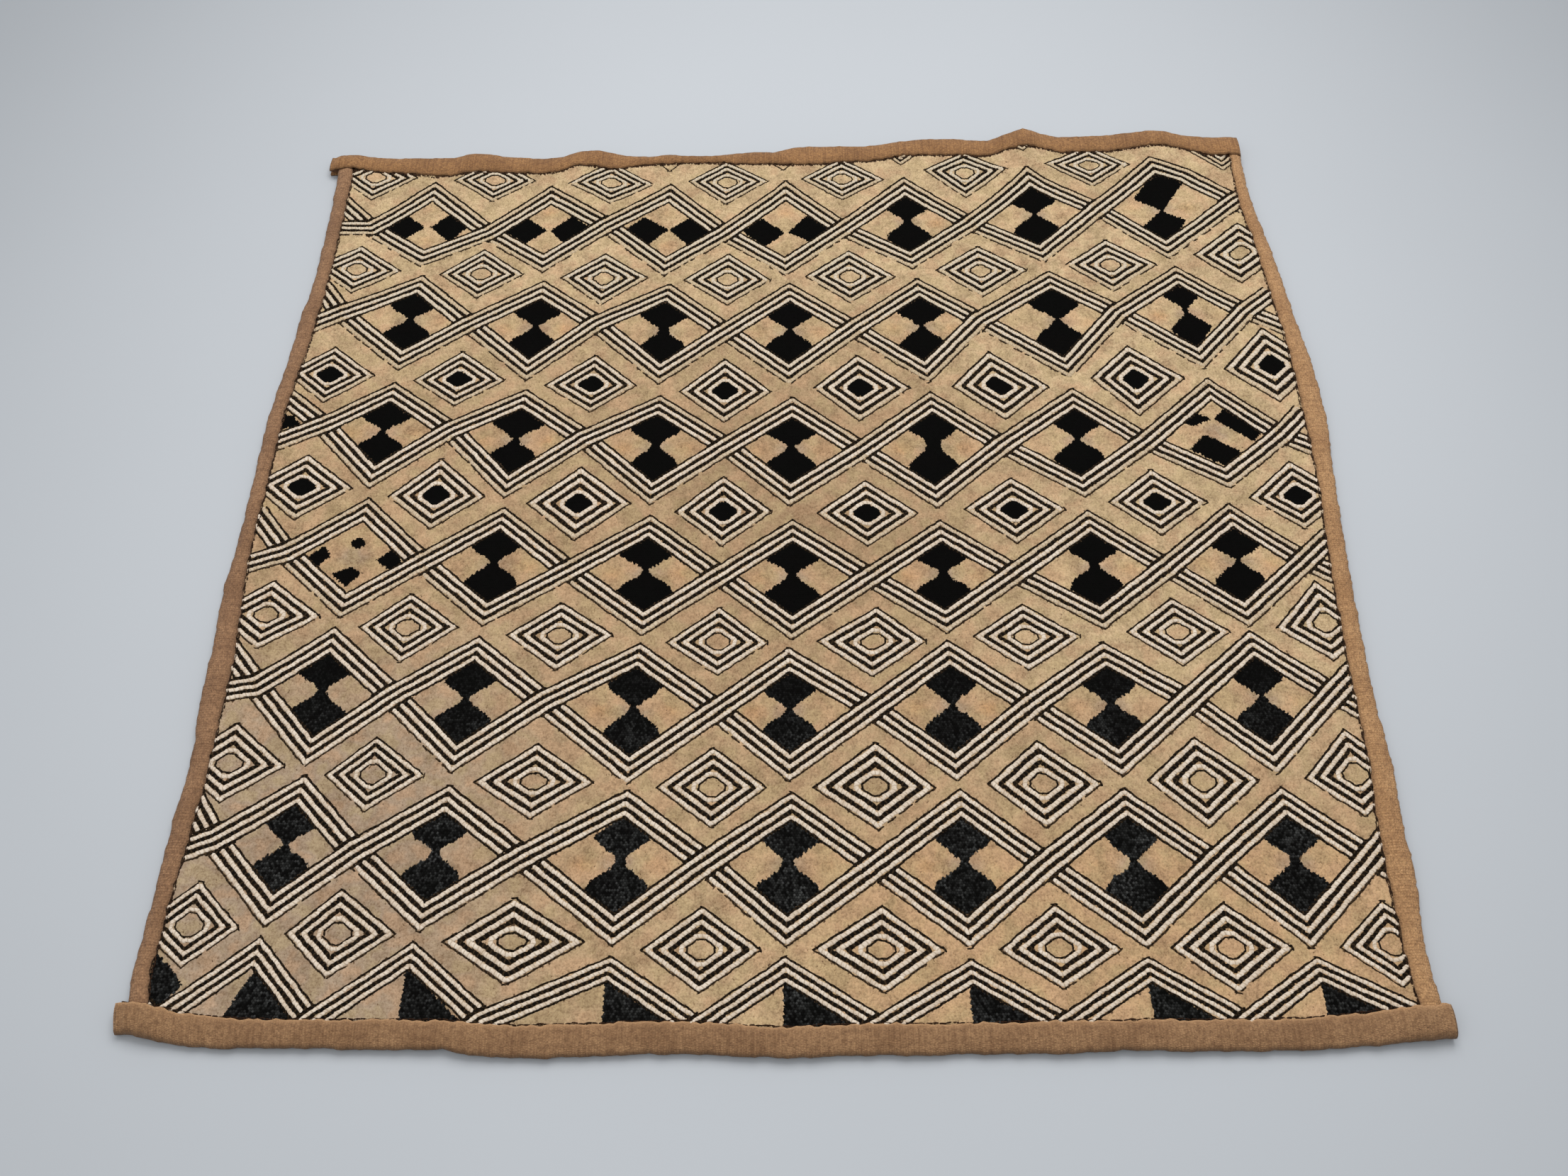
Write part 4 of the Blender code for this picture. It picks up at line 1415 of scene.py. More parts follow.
@dataclass
class StemStitches:
    """All the stitches of one thread: small raised grains, a little askew, that overlap along their line.

    Lengths on the chart, such as the pitch, are in millimetres, and those on the cloth in metres.
    """

    bed: Bed
    ground: float = 1.1 * MM
    pitch: float = 2.6
    overlap: float = 0.94
    slant: float = -0.15
    fine: float = 0.8
    reach: int = 2
    edge: float = 0.4 * MM
    askew: float = 0.05
    off_line: float = 0.06 * MM
    uneven: Place = (0.93, 1.07)
    crest_share: float = 0.95
    crest_limits: Place = (0.75 * MM, 0.92 * MM)
    crest_uneven: Place = (0.9, 1.08)
    worn_from: float = 20.0
    worn_over: float = 200.0

    def build(
        self, lines: list[Line], thread: Thread, worked: Field, finish: StitchFinish, effects: Effects
    ) -> bpy.types.Object:
        """Lay the stitches of one thread.

        Args:
            lines: All charted lines.
            thread: The thread whose stitches are laid.
            worked: The field, which the stitches don't leave.
            finish: The finish of the thread.
            effects: The shared node groups.

        Returns:
            The piece.
        """
        name = f"{thread.value}_stitches"
        rng = np.random.default_rng(SEED + len(name))
        centres, ways, halves = [], [], []
        for line in lines:
            length = len(line.places) * STEP
            count = max(int(round(length / self.pitch)), 1)
            at = (np.arange(count) + 0.5) * len(line.places) / count
            index = np.minimum(at.astype(int), len(line.places) - 1)
            index = index[line.threads[index] == thread]
            if not len(index):
                continue
            step = line.beside(index, self.reach) - line.beside(index, -self.reach)
            ways.append(step / np.maximum(np.linalg.norm(step, axis=1, keepdims=True), 1e-6))
            centres.append(line.places[index])
            width = line.width * (self.fine if thread is Thread.BROWN else 1.0)
            halves.append(np.tile([length / count * self.overlap, width / 2], (len(index), 1)))
        centre, way, half = np.vstack(centres) * MM, np.vstack(ways), np.vstack(halves) * MM
        keep = worked.inside(centre[:, 0], centre[:, 1], -self.edge)
        return self.lay(name, centre[keep], way[keep], half[keep], finish, effects, rng)

    def lay(
        self,
        name: str,
        centre: np.ndarray,
        way: np.ndarray,
        half: np.ndarray,
        finish: StitchFinish,
        effects: Effects,
        rng: np.random.Generator,
    ) -> bpy.types.Object:
        """Turn middles, directions and half sizes into one mesh of grains.

        Args:
            name: Name of the piece.
            centre: Middle of each stitch, in metres.
            way: Direction of the line at each stitch.
            half: Half length and half width of each stitch, in metres.
            finish: The finish of the thread.
            effects: The shared node groups.
            rng: The source of unevenness.

        Returns:
            The piece.
        """
        count = len(centre)
        turn = self.slant * smooth((half[:, 1] / MM - 0.5) / 0.4) + rng.normal(0.0, self.askew, count)
        cos, sin = np.cos(turn), np.sin(turn)
        way = np.stack([way[:, 0] * cos - way[:, 1] * sin, way[:, 0] * sin + way[:, 1] * cos], 1)
        side = np.stack([-way[:, 1], way[:, 0]], 1)
        half = half * rng.uniform(*self.uneven, half.shape)
        centre = centre + side * rng.normal(0.0, self.off_line, (count, 1))
        along, across = GRAIN_ALONG * half[:, :1], GRAIN_ACROSS * half[:, 1:]
        flat = centre[:, None, :] + way[:, None, :] * along[..., None] + side[:, None, :] * across[..., None]
        crest = np.clip(half[:, 1] * self.crest_share, *self.crest_limits)
        crest = crest * rng.uniform(*self.crest_uneven, count)
        z = self.bed.height(flat[..., 0], flat[..., 1]) + self.ground + GRAIN_UP * crest[:, None]
        run = along + rng.uniform(0, 1, (count, 1))
        strand = np.repeat(rng.uniform(0, 1, (count, 1)), len(GRAIN_UP), 1)
        values = {
            "fibre": np.stack([run, across, strand], -1),
            "tint": rng.uniform(0, 1, (count, 1)),
            # The rim value carries the painted shade at the stitch's ends
            "rim": GRAIN_END_SHADE,
            "worn": smooth((flat[..., 1] / MM - self.worn_from) / self.worn_over),
            "twist": 1.2 * GRAIN_ALONG + 0.2 * GRAIN_ACROSS,
        }
        return make_many(name, flat, z, GRAIN_FACES, values, finish.make(effects))


# Triangles of a tuft: four points round its foot, and its tip
TUFT_FACES = ((0, 1, 4), (1, 2, 4), (2, 3, 4), (3, 0, 4))


@dataclass
class CutPile:
    """Tufts of cut raffia that fill the ground between the stitched lines.

    Lengths on the chart, such as the pitches, are in millimetres, and those on the cloth in metres.
    """

    bed: Bed
    chart: Chart
    worked: Field
    ground: float = 1.05 * MM
    cell: float = 0.5
    crest: float = 0.92 * MM
    tan_pitch: Place = (1.15, 1.5)
    tan_half: Place = (1.35, 1.9)
    black_pitch: Place = (1.25, 1.25)
    black_half: Place = (1.3, 1.3)
    tan_jitter: float = 0.45
    black_jitter: float = 0.08
    black_height: float = 1.05
    under_lines: float = -0.25
    beside_lines: float = 0.75
    pressed: float = 0.45
    low_corner: Place = (-306.0, -320.0)
    grid_size: Place = (612.0, 640.0)
    rows_reach: Place = (303.0, 317.0)
    edge: float = 0.3 * MM
    askew: float = 0.12
    off_middle: float = 0.2 * MM
    grizzled_below: float = -85.0
    grizzle_waves: Place = (30.0, 140.0)

    def __post_init__(self) -> None:
        """Mark what the stitched lines cover."""
        self.rng = np.random.default_rng(SEED + 1)
        self.origin = np.array(self.low_corner)
        self.covered = self._shadow_of_lines(self.under_lines)
        self.beside = self._shadow_of_lines(self.beside_lines)

    def _shadow_of_lines(self, more: float) -> np.ndarray:
        """Mark the cells of a fine grid that lie under the stitched lines, widened by some millimetres."""
        shape = tuple(int(size / self.cell) for size in self.grid_size)
        shadow = np.zeros(shape, bool)
        for line in self.chart.lines:
            sewn = line.threads != Thread.GAP
            reach = line.width / 2 + more
            spots = (line.places[sewn] - self.origin) / self.cell
            base = np.floor(spots).astype(int)
            span = int(math.ceil(reach / self.cell))
            for i in range(-span, span + 1):
                for j in range(-span, span + 1):
                    near = base + (i, j)
                    close = np.linalg.norm((near + 0.5 - spots) * self.cell, axis=1) < reach
                    near = np.clip(near[close], 0, np.array(shape) - 1)
                    shadow[near[:, 0], near[:, 1]] = True
        return shadow

    def _read(self, shadow: np.ndarray, spots: np.ndarray) -> np.ndarray:
        """True where the grid is marked at a place."""
        cells = ((spots - self.origin) / self.cell).astype(int)
        return shadow[cells[:, 0], cells[:, 1]]

    def _lift(self, spots: np.ndarray) -> np.ndarray:
        """Share of the pile's height at each place: it is pressed down beside the stitched lines."""
        return np.where(self._read(self.beside, spots), self.pressed, 1.0)

    def _rows(self, pitch: Place, jitter: float) -> np.ndarray:
        """Places in rows along the weave, every other row shifted by half, each place a little off."""
        x, y = np.meshgrid(*(np.arange(-reach, reach, apart) for reach, apart in zip(self.rows_reach, pitch)))
        x[1::2] += pitch[0] / 2
        spots = np.stack([x.ravel(), y.ravel()], 1)
        return spots + self.rng.uniform(-jitter, jitter, spots.shape)

    def _free(self, spots: np.ndarray) -> np.ndarray:
        """True where no stitched line covers a place of the field."""
        in_field = self.worked.inside(spots[:, 0] * MM, spots[:, 1] * MM, self.edge)
        return in_field & ~self._read(self.covered, spots)

    @staticmethod
    def _within(spots: np.ndarray, patches: list[np.ndarray]) -> np.ndarray:
        """True where a place lies in one of the patches."""
        result = np.zeros(len(spots), bool)
        for patch in patches:
            result |= inside_polygon(spots, patch)
        return result

    def _moods(self, spots: np.ndarray) -> dict[str, np.ndarray]:
        """How pale, warm, dull and grey the tan pile is at each place, from 0 to 1."""
        x, y = spots[:, 0], spots[:, 1]
        # Paler towards the far edge, partly the raffia's own tone and partly painted light where more light
        # falls from the far side; paler on the right and along the near edge, greyer at the near left corner
        pale = 1.0 * smooth((y - 40) / 180) + 0.8 * smooth((x - 50) / 110) * smooth((y + 200) / 120)
        pale = pale + 0.5 * smooth((-y - 180) / 60) * smooth((x + 90) / 70)
        grey = 0.9 * smooth((-x - 80) / 120) * smooth((-y - 40) / 140)
        # Grey at the black patches' necks, warm in the cells and most of all at the middle of their tan
        for neck_x, neck_y in self.chart.necks:
            reach = np.hypot((x - neck_x) / 9.0, (y - neck_y) / 7.0)
            grey = np.maximum(grey, 0.7 * (1.0 - smooth(reach - 0.4)))
        in_cell = self._within(spots, self.chart.cells)
        warm = np.where(in_cell, 0.12, 0.0) + 0.35 * smooth((x + 60) / 120) * smooth((-y - 170) / 80)
        for core_x, core_y in self.chart.cores:
            reach = np.hypot((x - core_x) / 11.0, (y - core_y) / 9.0)
            warm = np.maximum(warm, self.rng.uniform(0.1, 0.7) * (1.0 - smooth(reach)))
        # Dull in the middle of the cloth, less so in the cells
        dull = np.exp(-(((x + 10) / 110) ** 2 + ((y - 5) / 120) ** 2))
        dull = 0.9 * dull * np.where(in_cell, 0.35, 1.0)
        moods = {"pale": pale, "warm": warm, "dull": dull, "grey": grey}
        return {label: np.clip(value, 0.0, 1.0) for label, value in moods.items()}

    def _tufts(
        self,
        name: str,
        spots: np.ndarray,
        half: np.ndarray,
        lift: np.ndarray,
        finish: PileFinish,
        effects: Effects,
        moods: dict[str, np.ndarray],
    ) -> bpy.types.Object:
        """Build tufts as low tents, each with its tip a little off its middle.

        Args:
            name: Name of the piece.
            spots: Middle of each tuft, in millimetres.
            half: Half width and half length of each tuft, in millimetres.
            lift: Height of each tuft as a share of the pile's.
            finish: Finish of the pile.
            effects: The shared node groups.
            moods: Values that change from tuft to tuft, or over each tuft's points, by name.

        Returns:
            The piece.
        """
        count = len(spots)
        centre = spots * MM
        turn = self.rng.normal(0.0, self.askew, count)
        cos, sin = np.cos(turn)[:, None], np.sin(turn)[:, None]
        reach = MM * self.rng.uniform(0.85, 1.15, (count, 4))
        u = reach * half[:, :1] * np.array([1.0, 0.0, -1.0, 0.0])
        v = reach * half[:, 1:] * np.array([0.0, 1.0, 0.0, -1.0])
        ring = centre[:, None, :] + np.stack([u * cos - v * sin, u * sin + v * cos], -1)
        tip = centre + self.rng.normal(0.0, self.off_middle, (count, 2))
        flat = np.concatenate([ring, tip[:, None, :]], 1)
        crest = self.crest * lift * self.rng.uniform(0.75, 1.05, count)
        is_tip = np.array([0.0, 0.0, 0.0, 0.0, 1.0])
        z = self.bed.height(flat[..., 0], flat[..., 1]) + self.ground + is_tip * crest[:, None]
        values = {label: data if data.ndim == 2 else data[:, None] for label, data in moods.items()}
        values["tint"] = self.rng.uniform(0, 1, (count, 1))
        values["tip"] = is_tip
        return make_many(name, flat, z, TUFT_FACES, values, finish.make(effects))

    def _grizzle(self, spots: np.ndarray) -> np.ndarray:
        """How grey the tips of the black tufts are, for the five points of each tuft."""
        place = smooth((self.grizzled_below - spots[:, 1]) / 110.0)
        waves = [Wobble(self.rng, *self.grizzle_waves)(spots[:, axis]) for axis in (0, 1)]
        drift = 0.5 + 0.5 * waves[0] * waves[1]
        by_chance = self.rng.uniform(0.0, 1.0, len(spots)) ** 2
        grey = np.zeros((len(spots), 5))
        grey[:, 4] = np.clip(place * (0.25 + 0.75 * drift) * 1.3 * by_chance, 0.0, 1.0)
        return grey

    def build(self, tan: PileFinish, black: PileFinish, effects: Effects) -> list[bpy.types.Object]:
        """Build the pile.

        Args:
            tan: Finish of the tan pile.
            black: Finish of the black pile.
            effects: The shared node groups.

        Returns:
            The pieces of pile.
        """
        spots = self._rows(self.tan_pitch, self.tan_jitter)
        spots = spots[self._free(spots) & ~self._within(spots, self.chart.black_patches)]
        pieces = []
        is_far = spots[:, 1] >= 0
        for name, part in (("tan_pile_far", spots[is_far]), ("tan_pile_near", spots[~is_far])):
            half = np.tile(self.tan_half, (len(part), 1))
            pieces.append(self._tufts(name, part, half, self._lift(part), tan, effects, self._moods(part)))
        dark = self._rows(self.black_pitch, self.black_jitter)
        dark = dark[self._free(dark) & self._within(dark, self.chart.black_patches)]
        half = np.tile(self.black_half, (len(dark), 1))
        moods = {label: np.zeros(len(dark)) for label in ("warm", "dull", "grey")}
        moods["pale"] = self._grizzle(dark)
        lift = self.black_height * self._lift(dark)
        pieces.append(self._tufts("black_pile", dark, half, lift, black, effects, moods))
        return pieces


@dataclass
class FoldedStrip:
    """One strip of plain raffia, folded round its edge of the cloth and sewn down."""

    line: StripLine
    name: str
    finish: ClothFinish
    layer: float = 1.0 * MM
    station: float = 2.0 * MM
    skew_low: float = 0.0
    trim_low: float = 0.25 * MM
    trim_high: float = 0.25 * MM
    pucker: float = 0.8 * MM
    pucker_pitch: float = 5.5 * MM
    pucker_waves: Place = (20 * MM, 90 * MM)
    seam_wave: float = 0.6 * MM
    seam_waves: Place = (6 * MM, 40 * MM)
    puff: float = 0.35 * MM
    puff_waves: Place = (9 * MM, 60 * MM)
    edge_wave: float = 0.4 * MM
    edge_waves: Place = (5 * MM, 26 * MM)
    edge_fade: float = 8 * MM
    crown: float = 0.7 * MM
    bend_share: float = 0.32
    least_bend: float = 0.25 * MM
    fold_turn: float = 2.2 * MM
    map_edge: float = 0.01
    shares: tuple[float, ...] = (0.985, 0.9, 0.76, 0.62, 0.48, 0.34)
    angles: tuple[float, ...] = (90.0, 60.0, 30.0, 0.0, -30.0, -60.0, -90.0)
    under: tuple[float, ...] = (0.45, 0.72, 0.97)

    def _section(self, along: float, wave: float, pinch: float, puff: float) -> tuple[np.ndarray, np.ndarray]:
        """Outer and inner line of the fold at one place, as distance in and height."""
        side = self.line.side
        outer, inner = float(self.line.outer_at(along)), float(self.line.inner_at(along))
        width = abs(outer - inner)

        def at(inward: float) -> Place:
            """Place of a point some way in from the fold."""
            across = outer - side.sign * inward
            return (along, across) if side.along_x else (across, along)

        skin = self.line.skin
        lowest = skin.underside(*at(width * 0.5))
        heights = [skin.top(*at(width * share)) for share in self.shares]
        known = [h for h in heights if not math.isnan(h)]
        heights = [known[0] if math.isnan(h) else h for h in heights]
        tall = (heights[-1] - lowest) / 2
        radius = min(tall, width * self.bend_share)
        small = max(radius - self.layer, self.least_bend)
        turns = np.radians(self.angles)
        upper = []
        for share, height in zip(self.shares, heights):
            drop = pinch * math.exp(-(((1.0 - share) / 0.16) ** 2))
            swell = (puff + self.crown) * math.sin(math.pi * share)
            inward = width * share + wave * smooth(np.array((share - 0.5) * 2.0))
            upper.append((inward, height - drop + swell))
        low = [(width * share, lowest) for share in self.under]

        def bend(across: float, high: float) -> list[Place]:
            """Points of the fold's turn, as distance in and height."""
            return [(radius - across * math.cos(t), lowest + tall + high * math.sin(t)) for t in turns]

        outline = upper + bend(radius, tall) + low
        lined = [(x, z - self.layer) for x, z in upper] + bend(small, tall - self.layer)
        lined += [(x, z + self.layer) for x, z in low]
        return np.array(outline, float), np.array(lined, float)

    def build(self, effects: Effects) -> bpy.types.Object:
        """Build the folded sheet, closed at its selvedges and its ends.

        Args:
            effects: The shared node groups.

        Returns:
            The piece.
        """
        line = self.line
        rng = np.random.default_rng(SEED + len(self.name) * 3)
        count = int((line.high - line.low) / self.station)
        spread = np.linspace(0.0, 1.0, count)
        along = line.low + self.trim_low + spread * (line.high - line.low - self.trim_low - self.trim_high)
        seam = Wobble(rng, *self.seam_waves)(along) * self.seam_wave
        puff = Wobble(rng, *self.puff_waves)(along) * self.puff
        phase = along / self.pucker_pitch * math.tau + 2.0 * Wobble(rng, *self.pucker_waves)(along)
        pinch = self.pucker * (0.5 + 0.5 * np.sin(phase))
        edge = Wobble(rng, *self.edge_waves)(along) * self.edge_wave
        rings, arcs = [], []
        for k in range(count):
            clear = min(max(along[k], line.along[0]), line.along[-1])
            outline, lined = self._section(clear, seam[k], pinch[k], puff[k])
            ring = np.vstack([outline, lined[::-1]])
            ring[:, 0] += edge[k] * np.clip(1.0 - ring[:, 0] / self.edge_fade, 0.0, 1.0)
            skew = self.skew_low * (1 - spread[k]) ** 8
            across = float(line.outer_at(clear)) - line.side.sign * ring[:, 0]
            shift = along[k] + skew * (1.0 - ring[:, 0] / max(outline[:, 0].max(), 1e-6))
            x, y = (shift, across) if line.side.along_x else (across, shift)
            rings.append(np.stack([x, y, ring[:, 1]], 1))
            steps = np.linalg.norm(np.diff(ring, axis=0), axis=1)
            arcs.append(np.concatenate([[0.0], np.cumsum(steps)]))
        return self._skin(np.array(rings), np.array(arcs), along, effects)

    def _skin(
        self, rings: np.ndarray, arcs: np.ndarray, along: np.ndarray, effects: Effects
    ) -> bpy.types.Object:
        """Join the rings into a closed sheet.

        Args:
            rings: Points round the strip at each place along it.
            arcs: Length round the strip up to each of those points.
            along: The places along the strip.
            effects: The shared node groups.

        Returns:
            The piece.
        """
        stations, around = rings.shape[:2]
        points = rings.reshape(-1, 3)
        i, j = np.meshgrid(np.arange(stations - 1), np.arange(around), indexing="ij")
        after = (j + 1) % around
        here, ahead = i * around, (i + 1) * around
        quads = np.stack([here + j, here + after, ahead + after, ahead + j], -1).reshape(-1, 4)
        half = around // 2
        caps = []
        for base, order in ((0, 1), ((stations - 1) * around, -1)):
            for k in range(half - 1):
                cap = [base + k, base + around - 1 - k, base + around - 2 - k, base + k + 1]
                caps.append(cap[::order])
        faces = np.vstack([quads, np.array(caps)])
        if not self.line.side.clockwise:
            faces = faces[:, ::-1]
        closing = arcs[:, -1] + self.layer
        arc = np.concatenate([arcs, closing[:, None]], 1)
        u = (along - along[0]) / MAP_SPAN + self.map_edge
        v = arc / MAP_SPAN + self.map_edge
        turns = ((0, 0), (0, 1), (1, 1), (1, 0))
        bake_quads = np.stack([np.stack([u[i + a], v[i + a, j + b]], -1) for a, b in turns], 2)
        bake_quads = bake_quads.reshape(-1, 4, 2)
        spare = arc.max() / MAP_SPAN + 3 * self.map_edge
        cap_points = points[np.array(caps)]
        across = cap_points[..., 1] if self.line.side.along_x else cap_points[..., 0]
        inward = (across - across.min()) / MAP_SPAN + spare
        bake_caps = np.stack([cap_points[..., 2] / MAP_SPAN + 2 * self.map_edge, inward], -1)
        bake_caps[len(caps) // 2:, :, 0] += 5 * self.map_edge
        bake = np.concatenate([bake_quads, bake_caps])
        if not self.line.side.clockwise:
            bake = bake[:, ::-1]
        cloth = np.stack([np.repeat(along, around), arcs.ravel(), np.zeros(len(points))], 1)
        number = np.arange(around)
        rim = len(self.shares) + 3
        worn = np.zeros(around)
        shade = 0.9 * smooth((number - rim + 3.5) / 4.5) * (number < half)
        if self.line.side is Side.NEAR:
            worn = np.exp(-((number / 0.8) ** 2))
        else:
            shade = np.maximum(shade, 0.8 * np.exp(-((number / 0.9) ** 2)))
        values = {"cloth": cloth, "worn": np.tile(worn, stations), "shade": np.tile(shade, stations)}
        sizes = np.full(len(faces), 4)
        finish = self.finish.make(effects)
        piece = make_piece(
            self.name, points, faces.ravel(), sizes, bake.reshape(-1, 2), values, finish
        )
        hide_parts(self.line.side.node)
        return piece


@dataclass
class SeamStitches:
    """The thread that sews a strip to the field: short stitches along its inner edge."""

    line: StripLine
    bed: Bed
    name: str
    pitch: float = 3.0
    width: float = 1.1
    lift: float = 1.3 * MM
    inward: float = 0.4 * MM
    wave: float = 0.4 * MM
    waves: Place = (7 * MM, 50 * MM)
    dip_reach: float = 3.5 * MM
    slant: float = -0.3
    overlap: float = 0.62
    reach: int = 2

    def build(self, finish: StitchFinish, effects: Effects, dips: tuple[Place, ...] = ()) -> bpy.types.Object:
        """Sew the seam.

        Args:
            finish: Finish of the thread.
            effects: The shared node groups.
            dips: Places along the seam and how far it dips into the field there, in millimetres.

        Returns:
            The piece.
        """
        line = self.line
        rng = np.random.default_rng(SEED + 40 + len(self.name))
        along = np.arange(line.along[0], line.along[-1], STEP * MM)
        inner = line.inner_at(along) - line.side.sign * self.inward
        inner = inner + Wobble(rng, *self.waves)(along) * self.wave
        for place, depth in dips:
            near = np.exp(-(((along - place * MM) / self.dip_reach) ** 2))
            inner = inner - line.side.sign * depth * MM * near
        places = np.stack([along, inner] if line.side.along_x else [inner, along], 1) / MM
        stitcher = StemStitches(self.bed, ground=self.lift, slant=self.slant)
        index = (np.arange(int(len(places) * STEP / self.pitch)) * self.pitch / STEP).astype(int)
        index = np.clip(index, self.reach, len(places) - self.reach - 1)
        step = places[index + self.reach] - places[index - self.reach]
        way = step / np.linalg.norm(step, axis=1, keepdims=True)
        half = np.tile([self.pitch * self.overlap, self.width / 2], (len(index), 1)) * MM
        return stitcher.lay(self.name, places[index] * MM, way, half, finish, effects, rng)


@dataclass
class Studio:
    """Pale floor, soft light and the camera at the photograph's place."""

    camera_place: Triple = (-0.0055, -0.589, 0.700)
    camera_tilt: float = 37.17
    lens: float = 38.0
    principal_offset: float = 2.0
    key: tuple[Triple, float, float] = ((0.15, 0.95, 1.7), 1.5, 26.0)
    fill: tuple[Triple, float, float] = ((-0.9, -0.9, 1.6), 1.6, 6.0)
    air: tuple[Colour, float] = ((0.93, 0.97, 1.0), 0.5)
    floor_reach: float = 2.5
    floor_height: float = -0.1 * MM

    def build(self) -> None:
        """Set up the stage."""
        self._floor()
        self._light("Key light", *self.key)
        self._light("Fill light", *self.fill)
        world = bpy.data.worlds.new("Studio")
        world.use_nodes = True
        background = world.node_tree.nodes["Background"]
        background.inputs["Color"].default_value = (*self.air[0], 1.0)
        background.inputs["Strength"].default_value = self.air[1]
        bpy.context.scene.world = world
        bpy.context.scene.view_settings.view_transform = "Standard"
        self._camera()

    def _floor(self) -> None:
        """Lay the floor."""
        mesh = bpy.data.meshes.new("floor")
        ways = ((-1, -1), (1, -1), (1, 1), (-1, 1))
        corners = [(x * self.floor_reach, y * self.floor_reach, self.floor_height) for x, y in ways]
        mesh.from_pydata(corners, [], [(0, 1, 2, 3)])
        floor = bpy.data.objects.new("floor", mesh)
        floor.data.materials.append(FloorFinish().make())
        bpy.context.scene.collection.objects.link(floor)

    @staticmethod
    def _light(name: str, place: Triple, size: float, power: float) -> None:
        """Hang one soft light that faces the cloth."""
        lamp = bpy.data.lights.new(name, "AREA")
        lamp.size = size
        lamp.energy = power
        holder = bpy.data.objects.new(name, lamp)
        holder.location = place
        holder.rotation_euler = (Vector() - Vector(place)).to_track_quat("-Z", "Y").to_euler()
        bpy.context.scene.collection.objects.link(holder)

    def _camera(self) -> None:
        """Place the camera."""
        data = bpy.data.cameras.new("Camera")
        data.lens = self.lens
        data.sensor_width = 36.0
        data.shift_x = -self.principal_offset / PHOTO_WIDTH
        data.clip_start = 0.02
        camera = bpy.data.objects.new("Camera", data)
        camera.location = self.camera_place
        camera.rotation_euler = (math.radians(self.camera_tilt), 0.0, 0.0)
        bpy.context.scene.collection.objects.link(camera)
        bpy.context.scene.camera = camera


# Each thread's light, dark and old colours, its slit colour between the beads (painted shade on the creams
# and the seam), and how far painted shade darkens its ends
THREAD_FINISHES: dict[Thread, StitchFinish] = {
    Thread.CREAM: StitchFinish(
        "cream stitch", *tones((244, 228, 209), (206, 183, 158), (216, 200, 174), (166, 142, 114)), 0.35
    ),
    Thread.SHADED: StitchFinish(
        "shaded cream stitch", *tones((226, 206, 178), (192, 168, 138), (210, 186, 152), (156, 130, 100)),
        0.35,
    ),
    Thread.FADED: StitchFinish(
        "faded stitch", *tones((212, 190, 158), (184, 160, 128), (210, 188, 154), (152, 126, 96)), 0.35
    ),
    Thread.BLACK: StitchFinish(
        "black stitch", *tones((11, 9, 7), (34, 26, 18), (18, 14, 10), (70, 55, 38)), 0.3, 0.8, 0.03
    ),
    Thread.BROWN: StitchFinish(
        "thin dark stitch", *tones((28, 21, 15), (52, 40, 28), (38, 29, 21), (92, 72, 50)), 0.3, 0.8, 0.03
    ),
}
SEAM_THREAD = StitchFinish(
    "seam thread", *tones((66, 42, 26), (34, 21, 13), (66, 42, 26), (26, 16, 10)), 0.4, 0.75, 0.1
)
TAN_PILE = PileFinish("tan pile", *tones(
    (214, 181, 140), (112, 85, 56), (233, 203, 159), (226, 170, 116),
    (184, 153, 117), (188, 165, 142), (220, 176, 137), (206, 182, 134),
))
BLACK_PILE = PileFinish("black pile", *tones(
    (12, 11, 10), (5, 5, 4), (92, 92, 90), (12, 11, 10),
    (12, 11, 10), (12, 11, 10), (13, 11, 10), (12, 12, 10),
), depth=0.3, roughness=0.9, sheen=0.0, shine=0.03)
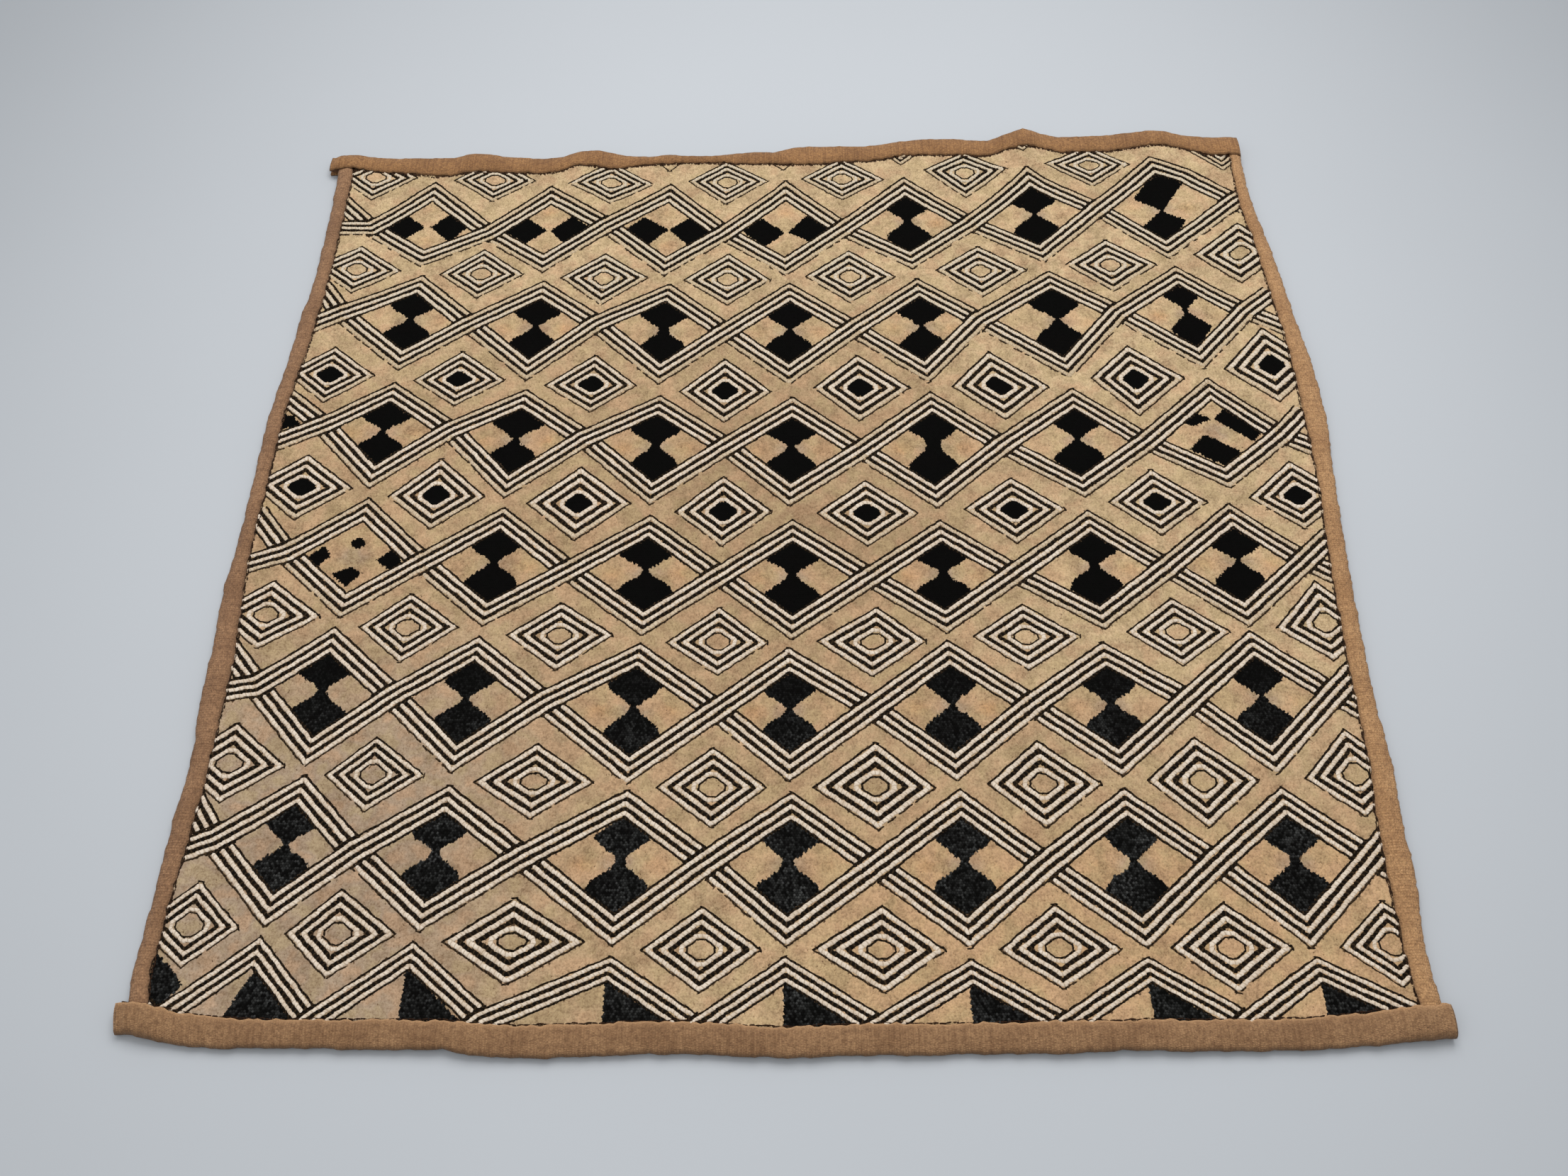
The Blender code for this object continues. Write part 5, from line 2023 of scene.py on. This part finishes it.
STRIP_FINISHES: dict[Side, ClothFinish] = {
    Side.LEFT: ClothFinish(
        "left strip", *tones((182, 138, 100), (128, 91, 62), (82, 54, 34), (108, 76, 52)), 1.4 * MM, 1.2 * MM
    ),
    Side.RIGHT: ClothFinish(
        "right strip", *tones((214, 166, 116), (166, 120, 78), (96, 64, 38), (132, 94, 62)), 1.4 * MM,
        1.2 * MM,
    ),
    Side.NEAR: ClothFinish(
        "near strip", *tones((188, 145, 103), (136, 98, 65), (92, 62, 38), (112, 78, 50)), 1.2 * MM, 0.7 * MM,
        open_weave=0.55,
    ),
    Side.FAR: ClothFinish(
        "far strip", *tones((188, 138, 87), (134, 92, 53), (78, 48, 28), (112, 74, 46)), 1.6 * MM, 1.3 * MM
    ),
}

# How the ends of a strip are cut, where it isn't square, and where the far seam dips into the field
STRIP_ENDS: dict[Side, dict[str, float]] = {
    Side.NEAR: {"skew_low": 2.2 * MM},
    Side.FAR: {"trim_low": 1.2 * MM, "trim_high": 3.0 * MM},
}
SEAM_WIDTHS = {Side.FAR: 1.5}
SEAM_DIPS = {Side.FAR: ((-233.0, 1.5), (-157.0, 0.6), (70.0, 1.0))}


def sew_strips(lines: dict[Side, StripLine], bed: Bed, effects: Effects) -> None:
    """Args:
        lines: Where the strips run.
        bed: The bed of the cloth.
        effects: The shared node groups.
    """
    for side, finish in STRIP_FINISHES.items():
        name = f"{side.name.lower()}_strip"
        strip = FoldedStrip(lines[side], name, finish, **STRIP_ENDS.get(side, {}))
        piece = strip.build(effects)
        sewing = SeamStitches(lines[side], bed, name + "_seam", width=SEAM_WIDTHS.get(side, 0.8))
        seam = sewing.build(SEAM_THREAD, effects, SEAM_DIPS.get(side, ()))


def main() -> None:
    """Build the cloth piece by piece, then the studio."""
    logging.basicConfig(level=logging.INFO, format="%(name)s: %(message)s")
    effects = Effects()
    bed = Bed()
    strip_lines = {side: StripLine(side) for side in Side}
    worked = Field(strip_lines)
    chart = Chart()
    LOG.info("chart: %d lines, %d black patches", len(chart.lines), len(chart.black_patches))
    ground = GroundCloth(bed).build(effects, worked)
    stitches = StemStitches(bed)
    sewn = []
    for thread, finish in THREAD_FINISHES.items():
        sewn.append(stitches.build(chart.lines, thread, worked, finish, effects))
    sewn += CutPile(bed, chart, worked).build(TAN_PILE, BLACK_PILE, effects)
    sew_strips(strip_lines, bed, effects)
    Studio().build()


if __name__ == "__main__":
    main()
